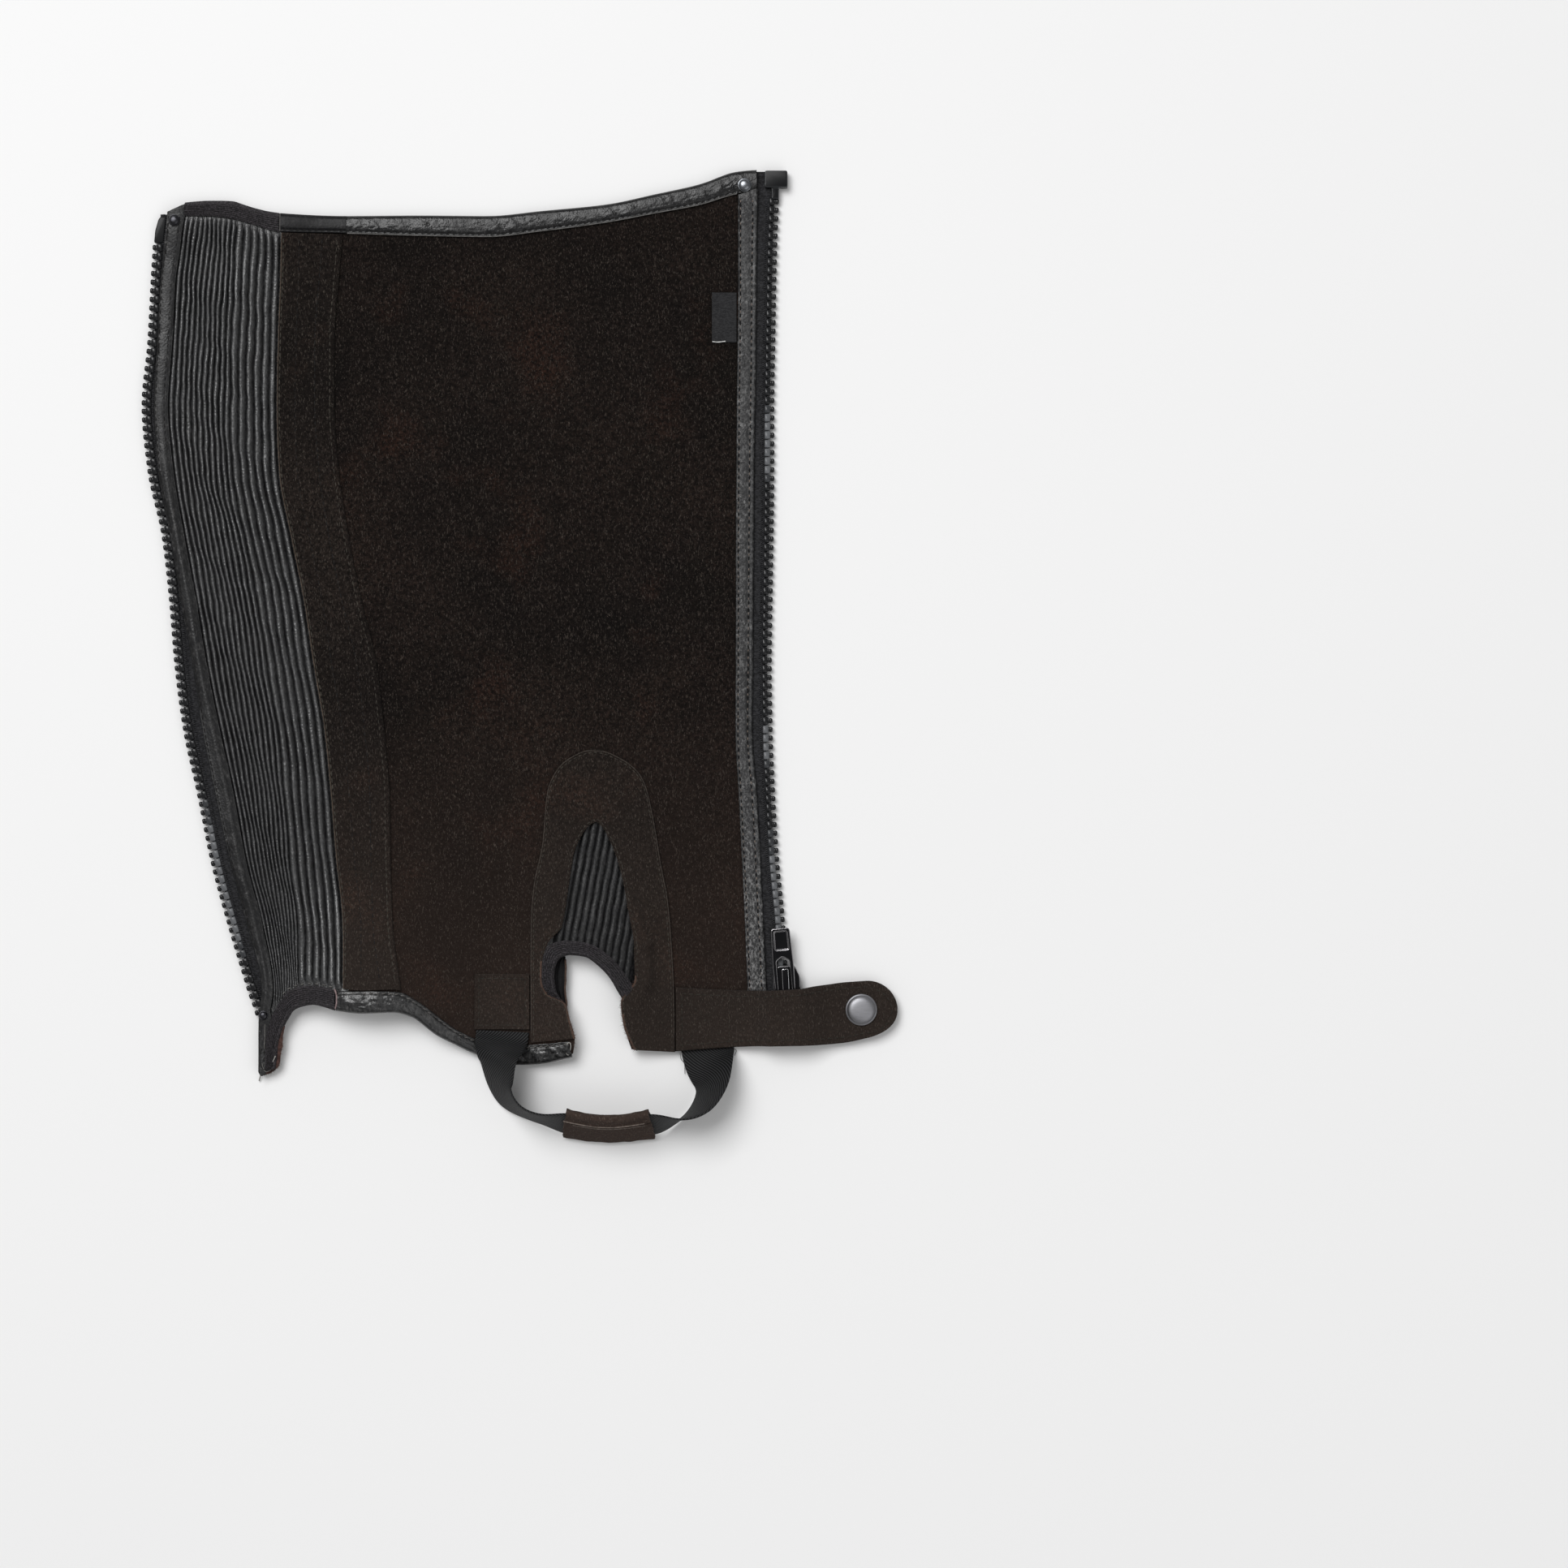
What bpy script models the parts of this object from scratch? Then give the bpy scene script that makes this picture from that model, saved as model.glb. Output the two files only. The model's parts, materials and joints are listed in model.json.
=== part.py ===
"""A half chap laid open and flat, outer side up: suede leg wall, ribbed stretch panel at the back,
ribbed gusset over the instep, bound top and hem, separating zip, snap strap and stirrup webbing.
Tables and sizes are in millimetres; the objects are in metres. +X points to the slider half of the
zip, +Y to the top edge and +Z away from the surface that the leather lies on."""
import math

import bmesh
import bpy
import numpy as np
from mathutils import Vector

MM = 0.001

# Wall thicknesses and the gaps between pieces
SUEDE = 1.8
OVERLAY = 1.1
BINDING_LEATHER = 1.0
STRAP_THICK = 2.4
GAP = 0.42
OVER = SUEDE + GAP
EDGE_LIFT = BINDING_LEATHER + GAP
EDGE_PLATEAU = 10.5
EDGE_FADE = 18.0
EDGE_INSET = 1.7
BOUND_HEM_END = 27.0

# Ribs of the stretch panels
RIB_COUNT = 17
RIB_PITCH = 3.45
WIDE_RIBS = 6
RIB_VALLEY = 1.1
RIB_CREST = 2.5
RIB_WAVE = 0.5
RIB_MARGIN = 0.6
RIB_WAVE_LENGTH = 41.0
RIB_SHAPE = ((0.0, 0.0), (0.3, 1.0), (0.7, 1.0))
BACK_BULGE = 4.0
BACK_BULGE_FADE = 30.0
GUSSET_VALLEY = 1.0
GUSSET_CREST = 1.8
GUSSET_LEAN = math.radians(10)
GUSSET_REFERENCE_Y = -125.0

# Zip, its slider and pull tab
TEETH_REACH = 4.4
TEETH_THICK = 3.2
TAPE_THICK = 1.0
TAPE_LEVEL = 0.8
SLIDER_Y = -152.3
SLIDER_LENGTH = 17.0
SLIDER_LEAN = math.radians(3)
BRIDGE_X = -0.5
BRIDGE_HALF = 1.5
SLIDER_RISE = 1.5
SLIDER_RISE_REACH = 38.0
PULL_LEAN = math.radians(5)
PULL_PIVOT = (123.0, -155.8, 7.3)
PULL_LENGTH = 29.6
PULL_WIDTH = 9.2
PULL_THICK = 1.5

# Stirrup webbing
WEBBING_WIDTH = 24.5
WEBBING_THICK = 1.2
SLEEVE_WALL = 1.2

# Places where the wall stands off the surface: centre, reach along x and y, height
ARCHES = (
    {"x": -69.0, "y": -166.0, "reach_x": 62.0, "reach_y": 72.0, "height": 13.0},
    {"x": 37.0, "y": -146.0, "reach_x": 55.0, "reach_y": 76.0, "height": 10.0},
)

# Seam lines across the leg, one row for each level; each column is an x position
LEVEL_COLUMNS = ("y", "zip_left", "facing_left_out", "facing_left_in", "band_left", "band_right",
                 "facing_right_in", "facing_right_out", "zip_right")
LEVELS = (
    (224, -168.0, -161.5, -153.5, -109.5, -80.5, 101.0, 110.0, 120.3),
    (205, -169.0, -162.5, -155.0, -109.5, -81.0, 101.0, 110.0, 119.8),
    (190, -169.5, -164.0, -157.0, -110.0, -82.0, 101.0, 109.8, 119.2),
    (173, -170.5, -166.0, -159.5, -110.5, -83.5, 101.0, 109.6, 118.8),
    (145, -172.0, -167.5, -161.0, -111.5, -85.5, 100.8, 109.4, 118.3),
    (115, -174.7, -169.0, -163.0, -112.0, -85.5, 100.4, 109.0, 117.8),
    (85, -172.0, -167.0, -160.5, -111.0, -83.5, 100.2, 108.5, 117.8),
    (55, -165.5, -161.5, -155.5, -105.5, -79.0, 100.0, 108.3, 117.5),
    (25, -162.0, -156.7, -150.0, -99.5, -73.0, 100.0, 108.1, 117.0),
    (-5, -159.5, -151.0, -145.0, -95.0, -66.0, 99.9, 107.9, 116.6),
    (-35, -155.5, -146.5, -139.0, -90.0, -62.5, 99.8, 107.6, 117.0),
    (-65, -149.0, -140.5, -132.5, -87.0, -60.0, 101.3, 109.8, 118.2),
    (-95, -143.0, -134.0, -127.0, -84.5, -59.5, 102.8, 111.4, 120.0),
    (-125, -135.0, -126.0, -119.5, -81.0, -58.0, 104.2, 112.8, 122.8),
    (-155, -126.0, -119.0, -114.3, -80.0, -53.5, 105.3, 114.2, 124.3),
    (-170, -121.5, -120.5, -116.2, -79.5, -52.0, 105.7, 114.7, 124.9),
    (-193, -121.0, -120.5, -116.6, -79.5, -52.0, 106.2, 115.2, 125.4),
)

# Top edge: the fold of the binding and its stitched inner edge
TOP_COLUMNS = ("x", "fold", "inner")
TOP_EDGE = (
    (-154, 209.0, 202.7),
    (-144, 209.8, 202.7),
    (-135, 209.8, 201.8),
    (-122.5, 206.4, 198.6),
    (-111, 204.1, 195.2),
    (-80, 202.7, 194.4),
    (-45, 202.9, 193.4),
    (-15, 202.7, 192.9),
    (10, 205.0, 195.5),
    (40, 208.0, 199.5),
    (63, 212.8, 203.8),
    (83, 217.3, 207.6),
    (101, 223.3, 212.8),
    (112, 224.2, 214.2),
)

# Lower edge of the leg, from the back tip past the instep notch to the zip
HEM_COLUMNS = ("x", "fold")
HEM_EDGE = (
    (-112, -186.0),
    (-108, -174.0),
    (-105, -166.0),
    (-99, -162.2),
    (-94, -161.4),
    (-89, -162.4),
    (-83.5, -164.0),
    (-71, -165.2),
    (-57, -164.8),
    (-49.5, -166.7),
    (-37.5, -175.7),
    (-30, -179.8),
    (-19, -185.1),
    (-2, -189.6),
    (6, -189.5),
    (25, -185.8),
    (36, -184.0),
    (53, -183.9),
    (72, -185.1),
    (80, -182.5),
    (110, -181.0),
)

# Bindings that do not follow one x to another: fold and inner edge of each section
STRIP_COLUMNS = ("fold_x", "fold_y", "inner_x", "inner_y")
HEM_ELASTIC = (
    (-110.6, -189.6, -116.0, -190.6),
    (-109.1, -181.3, -115.7, -181.6),
    (-107.6, -172.3, -114.4, -170.4),
    (-106.1, -167.0, -111.0, -161.8),
    (-103.5, -164.1, -106.9, -155.8),
    (-99.0, -162.2, -102.0, -153.4),
    (-94.1, -161.4, -95.6, -152.4),
    (-88.9, -162.4, -89.6, -153.0),
    (-83.9, -163.9, -83.9, -154.2),
)
HEM_LEATHER = (
    (-83.5, -164.0, -83.0, -154.9),
    (-71.0, -165.2, -68.0, -154.7),
    (-57.0, -164.8, -54.8, -155.2),
    (-49.5, -166.7, -46.1, -159.6),
    (-37.5, -175.7, -36.0, -167.5),
    (-30.0, -179.8, -29.0, -172.8),
    (-19.0, -185.1, -17.5, -178.0),
    (-2.0, -189.6, 0.0, -180.2),
    (8.0, -189.3, 8.0, -179.9),
    (24.7, -185.8, 22.8, -178.3),
)
GUSSET_BINDING = (
    (17.4, -154.8, 12.8, -151.6),
    (16.6, -148.5, 11.8, -146.5),
    (18.4, -141.0, 14.4, -135.6),
    (23.6, -138.6, 22.4, -131.8),
    (30.4, -139.3, 30.6, -132.6),
    (36.5, -143.2, 38.8, -136.4),
    (42.0, -149.0, 46.0, -143.0),
    (46.2, -156.2, 51.2, -150.2),
)

# Arch patch round the gusset: outer outline and the edge of its window, foot to foot
PATCH_COLUMNS = ("outer_x", "outer_y", "inner_x", "inner_y")
ARCH_PATCH = (
    (5.4, -179.1, 26.2, -176.9),
    (5.3, -170.0, 23.8, -168.5),
    (5.3, -162.5, 21.6, -161.0),
    (5.3, -157.0, 13.2, -156.6),
    (5.3, -150.0, 10.6, -150.0),
    (5.3, -143.0, 10.8, -142.0),
    (5.3, -135.0, 13.2, -133.6),
    (5.4, -122.0, 20.0, -125.0),
    (6.5, -107.0, 22.5, -109.7),
    (10.5, -87.0, 25.1, -92.4),
    (12.8, -63.6, 28.7, -83.8),
    (19.5, -50.4, 32.3, -79.0),
    (34.5, -43.7, 35.6, -77.3),
    (48.8, -48.9, 38.8, -80.2),
    (57.4, -57.9, 41.2, -84.6),
    (61.9, -75.2, 43.6, -89.8),
    (65.5, -96.0, 47.5, -102.0),
    (69.0, -115.0, 50.6, -118.3),
    (70.7, -135.0, 53.3, -134.4),
    (71.6, -153.0, 53.6, -150.0),
    (71.8, -160.0, 47.2, -160.0),
    (71.9, -171.0, 48.4, -171.0),
    (72.0, -183.6, 53.2, -182.4),
)

# The notch that the arch patch frames, cut a little wider so that the gusset drops into it
NOTCH_COLUMNS = ("y", "left", "right")
NOTCH = (
    (-72.0, 35.6, 35.6),
    (-78.0, 28.5, 42.0),
    (-85.0, 24.0, 46.0),
    (-93.0, 21.0, 48.8),
    (-110.0, 18.2, 53.5),
    (-124.0, 14.6, 56.2),
    (-134.0, 8.8, 57.6),
    (-150.0, 7.5, 57.2),
    (-158.0, 18.0, 52.5),
    (-161.0, 21.0, 47.6),
    (-168.0, 23.2, 47.9),
    (-177.0, 25.8, 50.2),
    (-190.0, 24.0, 55.0),
)

# Ribs of the gusset, one row for each: x at the reference height, top and bottom of the rib
GUSSET_COLUMNS = ("x", "top", "bottom")
GUSSET_RIBS = (
    (18.0, -93.0, -136.6),
    (22.0, -82.0, -136.6),
    (27.0, -75.6, -136.8),
    (32.0, -79.0, -137.4),
    (37.0, -87.0, -139.5),
    (42.0, -96.5, -142.9),
    (47.0, -109.5, -147.3),
    (52.0, -122.0, -152.8),
    (55.6, -134.0, -153.2),
)

# Lower edge of the ribbed back panel by share of its width
BACK_HEM_COLUMNS = ("share", "y")
BACK_HEM = ((0.0, -169.5), (0.1, -170.0), (0.2, -166.6), (0.3, -162.7), (0.4, -161.0), (0.55, -159.8),
            (0.75, -160.6), (1.0, -162.6))

# Ankle strap: underside height and both edges along its length
STRAP_COLUMNS = ("x", "upper_y", "lower_y", "under")
STRAP = (
    (72.4, -153.6, -183.2, OVER),
    (85.0, -154.4, -182.3, OVER),
    (98.0, -155.0, -181.4, OVER),
    (104.0, -155.1, -181.0, 3.9),
    (110.0, -155.1, -180.7, 5.4),
    (117.0, -154.8, -180.5, 10.0),
    (129.0, -154.2, -180.3, 10.0),
    (136.0, -153.1, -180.2, 7.2),
    (143.0, -152.3, -179.9, 4.2),
    (149.0, -151.5, -179.4, 3.3),
    (154.0, -151.1, -178.6, 3.3),
    (160.0, -150.7, -177.2, 3.3),
)
STRAP_END = {"x": 160.0, "y": -164.2, "reach": 14.7, "half": 13.2}

# Stirrup webbing: centre, tilt of its width in degrees, and whether it lies on the wall
WEBBING_COLUMNS = ("x", "y", "z", "tilt", "on_wall")
WEBBING = (
    (-7.6, -174.0, 3.0, 0, 1),
    (-7.8, -178.2, 4.2, 0, 1),
    (-9.2, -184.0, 13.6, 35, 0),
    (-9.2, -191.5, 13.2, 50, 0),
    (-8.3, -199.0, 11.6, 59, 0),
    (-3.8, -206.6, 12.4, 69, 0),
    (4.0, -211.6, 12.9, 76, 0),
    (12.5, -214.2, 13.4, 74, 0),
    (19.5, -215.4, 13.7, 64, 0),
    (24.5, -215.9, 13.8, 62, 0),
    (41.6, -216.6, 13.8, 62, 0),
    (60.5, -216.2, 13.8, 62, 0),
    (65.5, -215.9, 13.7, 65, 0),
    (71.5, -215.0, 13.2, 79, 0),
    (77.5, -212.8, 12.8, 92, 0),
    (84.0, -208.0, 12.4, 108, 0),
    (88.4, -201.0, 11.4, 121, 0),
    (89.4, -194.5, 9.0, 137, 0),
    (88.0, -188.5, 5.2, 163, 0),
    (87.2, -183.9, 2.95, 180, 0),
)
WEBBING_STATIONS = 48
SLEEVE_FROM_X = 21.0
SLEEVE_TO_X = 62.8

# Round metal parts: radius and height down each profile
SNAP_CAP_PROFILE = ((0.0, 2.7), (2.6, 2.6), (5.0, 2.1), (6.6, 1.2), (7.3, 0.5), (7.2, 0.0), (0.0, 0.0))
SNAP_SOCKET_PROFILE = ((0.0, 2.9), (6.0, 2.9), (6.0, 0.9), (4.4, 0.0), (0.0, 0.0))
RIVET_PROFILE = ((0.0, 1.0), (0.55, 0.92), (0.9, 0.5), (1.0, 0.0), (0.0, 0.0))
SNAP_AT = (157.9, -163.9)
RIVETS = (
    {"name": "rivet_top_back", "x": -159.2, "y": 200.4, "radius": 2.7, "height": 1.3, "clear": 0.3},
    {"name": "rivet_top_front", "x": 104.1, "y": 216.6, "radius": 3.1, "height": 1.5, "clear": 0.4},
    {"name": "rivet_hem_back", "x": -118.0, "y": -166.7, "radius": 2.2, "height": 1.3, "clear": 0.6},
)

# Colours, roughness and metallic value of each material
MATERIALS = {
    "suede": ((0.016, 0.012, 0.010), 0.95, 0.0),
    "suede_trim": ((0.022, 0.017, 0.014), 0.95, 0.0),
    "leather": ((0.018, 0.018, 0.019), 0.45, 0.0),
    "elastic": ((0.012, 0.011, 0.012), 0.85, 0.0),
    "webbing": ((0.010, 0.010, 0.011), 0.8, 0.0),
    "zip_tape": ((0.009, 0.010, 0.013), 0.85, 0.0),
    "zip_plastic": ((0.012, 0.012, 0.014), 0.4, 0.0),
    "black_metal": ((0.02, 0.02, 0.02), 0.25, 0.9),
    "snap_metal": ((0.32, 0.32, 0.33), 0.35, 1.0),
    "label": ((0.01, 0.01, 0.011), 0.9, 0.0),
}


def column(table, names, name):
    return np.array([row[names.index(name)] for row in table], dtype=float)


def curve_through(xs, ys):
    """A smooth function through the points of a table, with no overshoot, straight beyond its ends."""
    order = np.argsort(xs)
    xs, ys = xs[order], ys[order]
    rises = np.diff(ys) / np.diff(xs)
    slopes = np.concatenate(([rises[0]], np.zeros(len(xs) - 2), [rises[-1]]))
    for k, (before, after) in enumerate(zip(rises, rises[1:])):
        if before * after > 0:
            slopes[k + 1] = 2 * before * after / (before + after)

    def at(x):
        i = int(np.clip(np.searchsorted(xs, x) - 1, 0, len(xs) - 2))
        span = xs[i + 1] - xs[i]
        t = (x - xs[i]) / span
        if t < 0.0:
            return float(ys[0] + slopes[0] * (x - xs[0]))
        if t > 1.0:
            return float(ys[-1] + slopes[-1] * (x - xs[-1]))
        return float((1 + 2 * t) * (1 - t) ** 2 * ys[i] + t * (1 - t) ** 2 * span * slopes[i]
                     + t * t * (3 - 2 * t) * ys[i + 1] + t * t * (t - 1) * span * slopes[i + 1])
    return at


def curves(table, names, key):
    """One smooth function for each column of a table, by its key column."""
    keys = column(table, names, key)
    return {name: curve_through(keys, column(table, names, name)) for name in names if name != key}


def sections(table, names, count):
    """A table's rows made into count smooth sections, evenly spaced along the middle line."""
    rows = np.array(table, dtype=float)
    pairs = rows[:, :2] if "tilt" in names else (rows[:, 0:2] + rows[:, 2:4]) / 2
    steps = np.maximum(np.linalg.norm(np.diff(pairs, axis=0), axis=1), 0.1)
    along = np.concatenate(([0.0], np.cumsum(steps)))
    smooth = [curve_through(along, rows[:, k]) for k in range(rows.shape[1])]
    return [dict(zip(names, (f(s) for f in smooth))) for s in np.linspace(0, along[-1], count)]


LINE = curves(LEVELS, LEVEL_COLUMNS, "y")
TOP = curves(TOP_EDGE, TOP_COLUMNS, "x")
HEM = curves(HEM_EDGE, HEM_COLUMNS, "x")
SLIT = curves(NOTCH, NOTCH_COLUMNS, "y")
BACK_BOTTOM = curves(BACK_HEM, BACK_HEM_COLUMNS, "share")["y"]
STRAP_LINE = curves(STRAP, STRAP_COLUMNS, "x")


def ramp(t):
    t = min(max(t, 0.0), 1.0)
    return t * t * (3 - 2 * t)


def arch(x, y):
    """How far the wall stands off the surface where its edges curl up."""
    height = 0.0
    for spot in ARCHES:
        r = math.hypot((x - spot["x"]) / spot["reach_x"], (y - spot["y"]) / spot["reach_y"])
        if r < 1.0:
            height += spot["height"] * math.cos(math.pi * r / 2) ** 2
    return height


def bed(x, y):
    """Underside of the wall: its arches, and the lift over the binding's lower flap."""
    from_top = TOP["fold"](x) - y
    from_hem = y - HEM["fold"](x) + max(0.0, x - BOUND_HEM_END) * 2
    near = min(from_top, from_hem)
    return arch(x, y) + EDGE_LIFT * (1 - ramp((near - EDGE_PLATEAU) / EDGE_FADE))


def zip_rise(y):
    """Extra height of the front zip half where its slider sits."""
    return SLIDER_RISE * (1 - ramp(abs(y - SLIDER_Y) / SLIDER_RISE_REACH))


def make_material(slot, name):
    colour, roughness, metallic = MATERIALS[slot]
    material = bpy.data.materials.new(name)
    material.use_nodes = True
    shader = material.node_tree.nodes["Principled BSDF"]
    shader.inputs["Base Color"].default_value = (*colour, 1.0)
    shader.inputs["Roughness"].default_value = roughness
    shader.inputs["Metallic"].default_value = metallic
    material.diffuse_color = (*colour, 1.0)
    return material


def add_object(name, mesh, slot):
    thing = bpy.data.objects.new(name, mesh)
    PARTS.objects.link(thing)
    thing.data.materials.append(make_material(slot, name))
    return thing


def finish_mesh(name, mesh_data, slot, smooth_angle=40):
    bmesh.ops.recalc_face_normals(mesh_data, faces=mesh_data.faces)
    mesh = bpy.data.meshes.new(name)
    mesh_data.to_mesh(mesh)
    mesh_data.free()
    mesh.shade_smooth()
    mesh.set_sharp_from_angle(angle=math.radians(smooth_angle))
    return add_object(name, mesh, slot)


def wall(name, points, faces, slot):
    """A closed wall: points are (x, y, underside, outside), faces join them over the outside."""
    made = bmesh.new()
    upper = [made.verts.new((x * MM, y * MM, high * MM)) for x, y, low, high in points]
    lower = [made.verts.new((x * MM, y * MM, low * MM)) for x, y, low, high in points]
    edges = {}
    for face in faces:
        made.faces.new([upper[i] for i in face])
        made.faces.new([lower[i] for i in reversed(face)])
        for a, b in zip(face, face[1:] + face[:1]):
            edges[(a, b)] = edges.get((a, b), 0) + 1
    for a, b in edges:
        if (b, a) not in edges:
            made.faces.new((upper[b], upper[a], lower[a], lower[b]))
    return finish_mesh(name, made, slot)


def grid_faces(rows, columns, first=0):
    return [[first + i * columns + j, first + (i + 1) * columns + j,
             first + (i + 1) * columns + j + 1, first + i * columns + j + 1]
            for i in range(rows - 1) for j in range(columns - 1)]


def grid_wall(name, grid, slot):
    """A wall from rows of (x, y, underside, outside)."""
    points = [point for row in grid for point in row]
    return wall(name, points, grid_faces(len(grid), len(grid[0])), slot)


def ribbed_wall(name, grid, keep, slot):
    """A wall whose outside follows every column, over an inside that has only the kept ones."""
    made = bmesh.new()
    upper = [[made.verts.new((x * MM, y * MM, high * MM)) for x, y, low, high in row] for row in grid]
    lower = [{j: made.verts.new((row[j][0] * MM, row[j][1] * MM, row[j][2] * MM)) for j in keep}
             for row in grid]
    rows = len(grid)
    for i in range(rows - 1):
        for j in range(len(grid[0]) - 1):
            made.faces.new((upper[i][j], upper[i + 1][j], upper[i + 1][j + 1], upper[i][j + 1]))
        for a, b in zip(keep, keep[1:]):
            made.faces.new((lower[i][a], lower[i][b], lower[i + 1][b], lower[i + 1][a]))
        for j, turn in ((0, 1), (keep[-1], -1)):
            side = (upper[i][j], lower[i][j], lower[i + 1][j], upper[i + 1][j])
            made.faces.new(side[::turn])
    for i, turn in ((0, 1), (rows - 1, -1)):
        for a, b in zip(keep, keep[1:]):
            end = [upper[i][j] for j in range(a, b + 1)] + [lower[i][b], lower[i][a]]
            made.faces.new(end[::turn])
    return finish_mesh(name, made, slot, 25)


def loft(name, rings, slot, smooth_angle=40):
    """A closed solid through rings of the same number of points, in millimetres."""
    made = bmesh.new()
    rows = [[made.verts.new(Vector(point) * MM) for point in ring] for ring in rings]
    count = len(rings[0])
    for a, b in zip(rows, rows[1:]):
        for k in range(count):
            made.faces.new((a[k], a[(k + 1) % count], b[(k + 1) % count], b[k]))
    caps = [made.faces.new(rows[0][::-1]), made.faces.new(rows[-1])]
    bmesh.ops.triangulate(made, faces=caps)
    return finish_mesh(name, made, slot, smooth_angle)


def levels(high, low, step):
    """Heights from high down to low, about a step apart."""
    count = max(2, int(round((high - low) / step)) + 1)
    return [float(y) for y in np.linspace(high, low, count)]


def back_joint(y):
    """Where the ribbed panel meets the suede, under the seam band."""
    return LINE["band_left"](y) + 1.9


def back_outer(y):
    """Outer edge of the ribbed panel, under the back facing."""
    return LINE["facing_left_in"](y) * 0.6 + LINE["facing_left_out"](y) * 0.4


def front_joint(y):
    """Where the suede meets the front zip tape, under the front facing."""
    return LINE["facing_right_in"](y) + 4.0


def solve_height(start, x_at, edge_at, share):
    """Height of a point that lies a share of the way from start down to an edge."""
    y = start
    for _ in range(6):
        y = start + share * (edge_at(x_at(y)) - start)
    return y


def hem_inset(x):
    """Lower edge of the suede, a constant distance inside the fold also where the hem slants."""
    slant = HEM["fold"](x + 1) - HEM["fold"](x - 1)
    return HEM["fold"](x) + EDGE_INSET * math.hypot(1, slant / 2)


def wall_point(x, y, thick=SUEDE):
    low = bed(x, y)
    return (x, y, low, low + thick)


def build_suede_panel():
    """One leg wall with an open notch: a grid whose middle column parts below the notch's peak."""
    peak = NOTCH[0][0]
    left_count, right_count = 19, 10
    left_shares = [0.6 * s + 0.4 * math.sin(math.pi * s / 2) for s in np.linspace(0, 1, left_count)]
    right_shares = [1 - (0.6 * s + 0.4 * math.sin(math.pi * s / 2))
                    for s in np.linspace(1, 0, right_count)]
    edge_rows = [0.0, EDGE_PLATEAU / 2, EDGE_PLATEAU, EDGE_PLATEAU + EDGE_FADE / 3,
                 EDGE_PLATEAU + EDGE_FADE * 2 / 3, EDGE_PLATEAU + EDGE_FADE]
    middle_rows = list(np.linspace(0.0, 1.0, 8))[1:]
    lower_rows = list(np.linspace(0.0, 1.0, 8))[1:]
    points = []
    index = {}

    def place(key, x, y):
        index[key] = len(points)
        points.append(wall_point(x, y))

    columns = [("L", s) for s in left_shares] + [("R", s) for s in right_shares[1:]]

    def across(side, share, y, split):
        middle_left = SLIT["left"](y) if split else SLIT["left"](peak)
        middle_right = SLIT["right"](y) if split else SLIT["right"](peak)
        if side == "L":
            start = back_joint(y) + 0.5
            return start + share * (middle_left - start)
        return middle_right + share * (front_joint(y) - middle_right)

    row = 0
    for kind, value in [("top", d) for d in edge_rows] + [("down", s) for s in middle_rows]:
        for j, (side, share) in enumerate(columns):
            def x_at(y):
                return across(side, share, y, False)

            def top_at(x):
                return TOP["fold"](x) - EDGE_INSET

            y = top_at(x_at(200.0))
            for _ in range(4):
                y = top_at(x_at(y))
            if kind == "top":
                y -= value
            else:
                start = y - edge_rows[-1]
                y = start + value * (peak - start)
            place((row, j), x_at(y), y)
        row += 1
    peak_row = row - 1
    for kind, value in [("down", s) for s in lower_rows] + [("hem", d) for d in edge_rows[-2::-1]]:
        for j, (side, share) in enumerate(columns + [("R", 0.0)]):
            def x_at(y):
                return across(side, share, y, True)

            def edge_at(x):
                depth = edge_rows[-1] if kind == "down" else value
                return hem_inset(x) + depth

            y = solve_height(peak, x_at, edge_at, value if kind == "down" else 1.0)
            place((row, j), x_at(y), y)
        row += 1
    middle = left_count - 1
    spare = len(columns)
    faces = []
    for i in range(row - 1):
        for j in range(len(columns) - 1):
            def vertex(r, c):
                if c == middle and j >= middle and r > peak_row:
                    return index[(r, spare)]
                return index[(r, c)]
            faces.append([vertex(i, j), vertex(i + 1, j), vertex(i + 1, j + 1), vertex(i, j + 1)])
    return wall("suede_panel", points, faces, "suede")


def rib_positions(y):
    """Edges of the back panel's ribs at one height: wide ones by the suede, the rest squeezed."""
    start = LINE["facing_left_in"](y) + RIB_MARGIN
    end = LINE["band_left"](y) - RIB_MARGIN
    narrow = RIB_COUNT - WIDE_RIBS
    split = end - WIDE_RIBS * RIB_PITCH
    edges = [start + (split - start) * k / narrow for k in range(narrow)]
    edges += [split + RIB_PITCH * k for k in range(WIDE_RIBS + 1)]
    return edges


def rib_outline(y):
    """Every outer column of the back panel at one height: x, share of the width and rib height."""
    edges = rib_positions(y)
    width = edges[-1] - edges[0]
    found = [(back_outer(y), 0.0, 0.0)]
    for k, (a, b) in enumerate(zip(edges, edges[1:])):
        for part, height in RIB_SHAPE:
            x = a + part * (b - a)
            share = (x - edges[0]) / width
            sway = RIB_WAVE * math.sin(2 * math.pi * y / RIB_WAVE_LENGTH + 0.7 * k)
            found.append((x + sway * math.sin(math.pi * share), share, height))
    found.append((edges[-1], 1.0, 0.0))
    found.append((back_joint(y), 1.0, 0.0))
    return found


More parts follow.
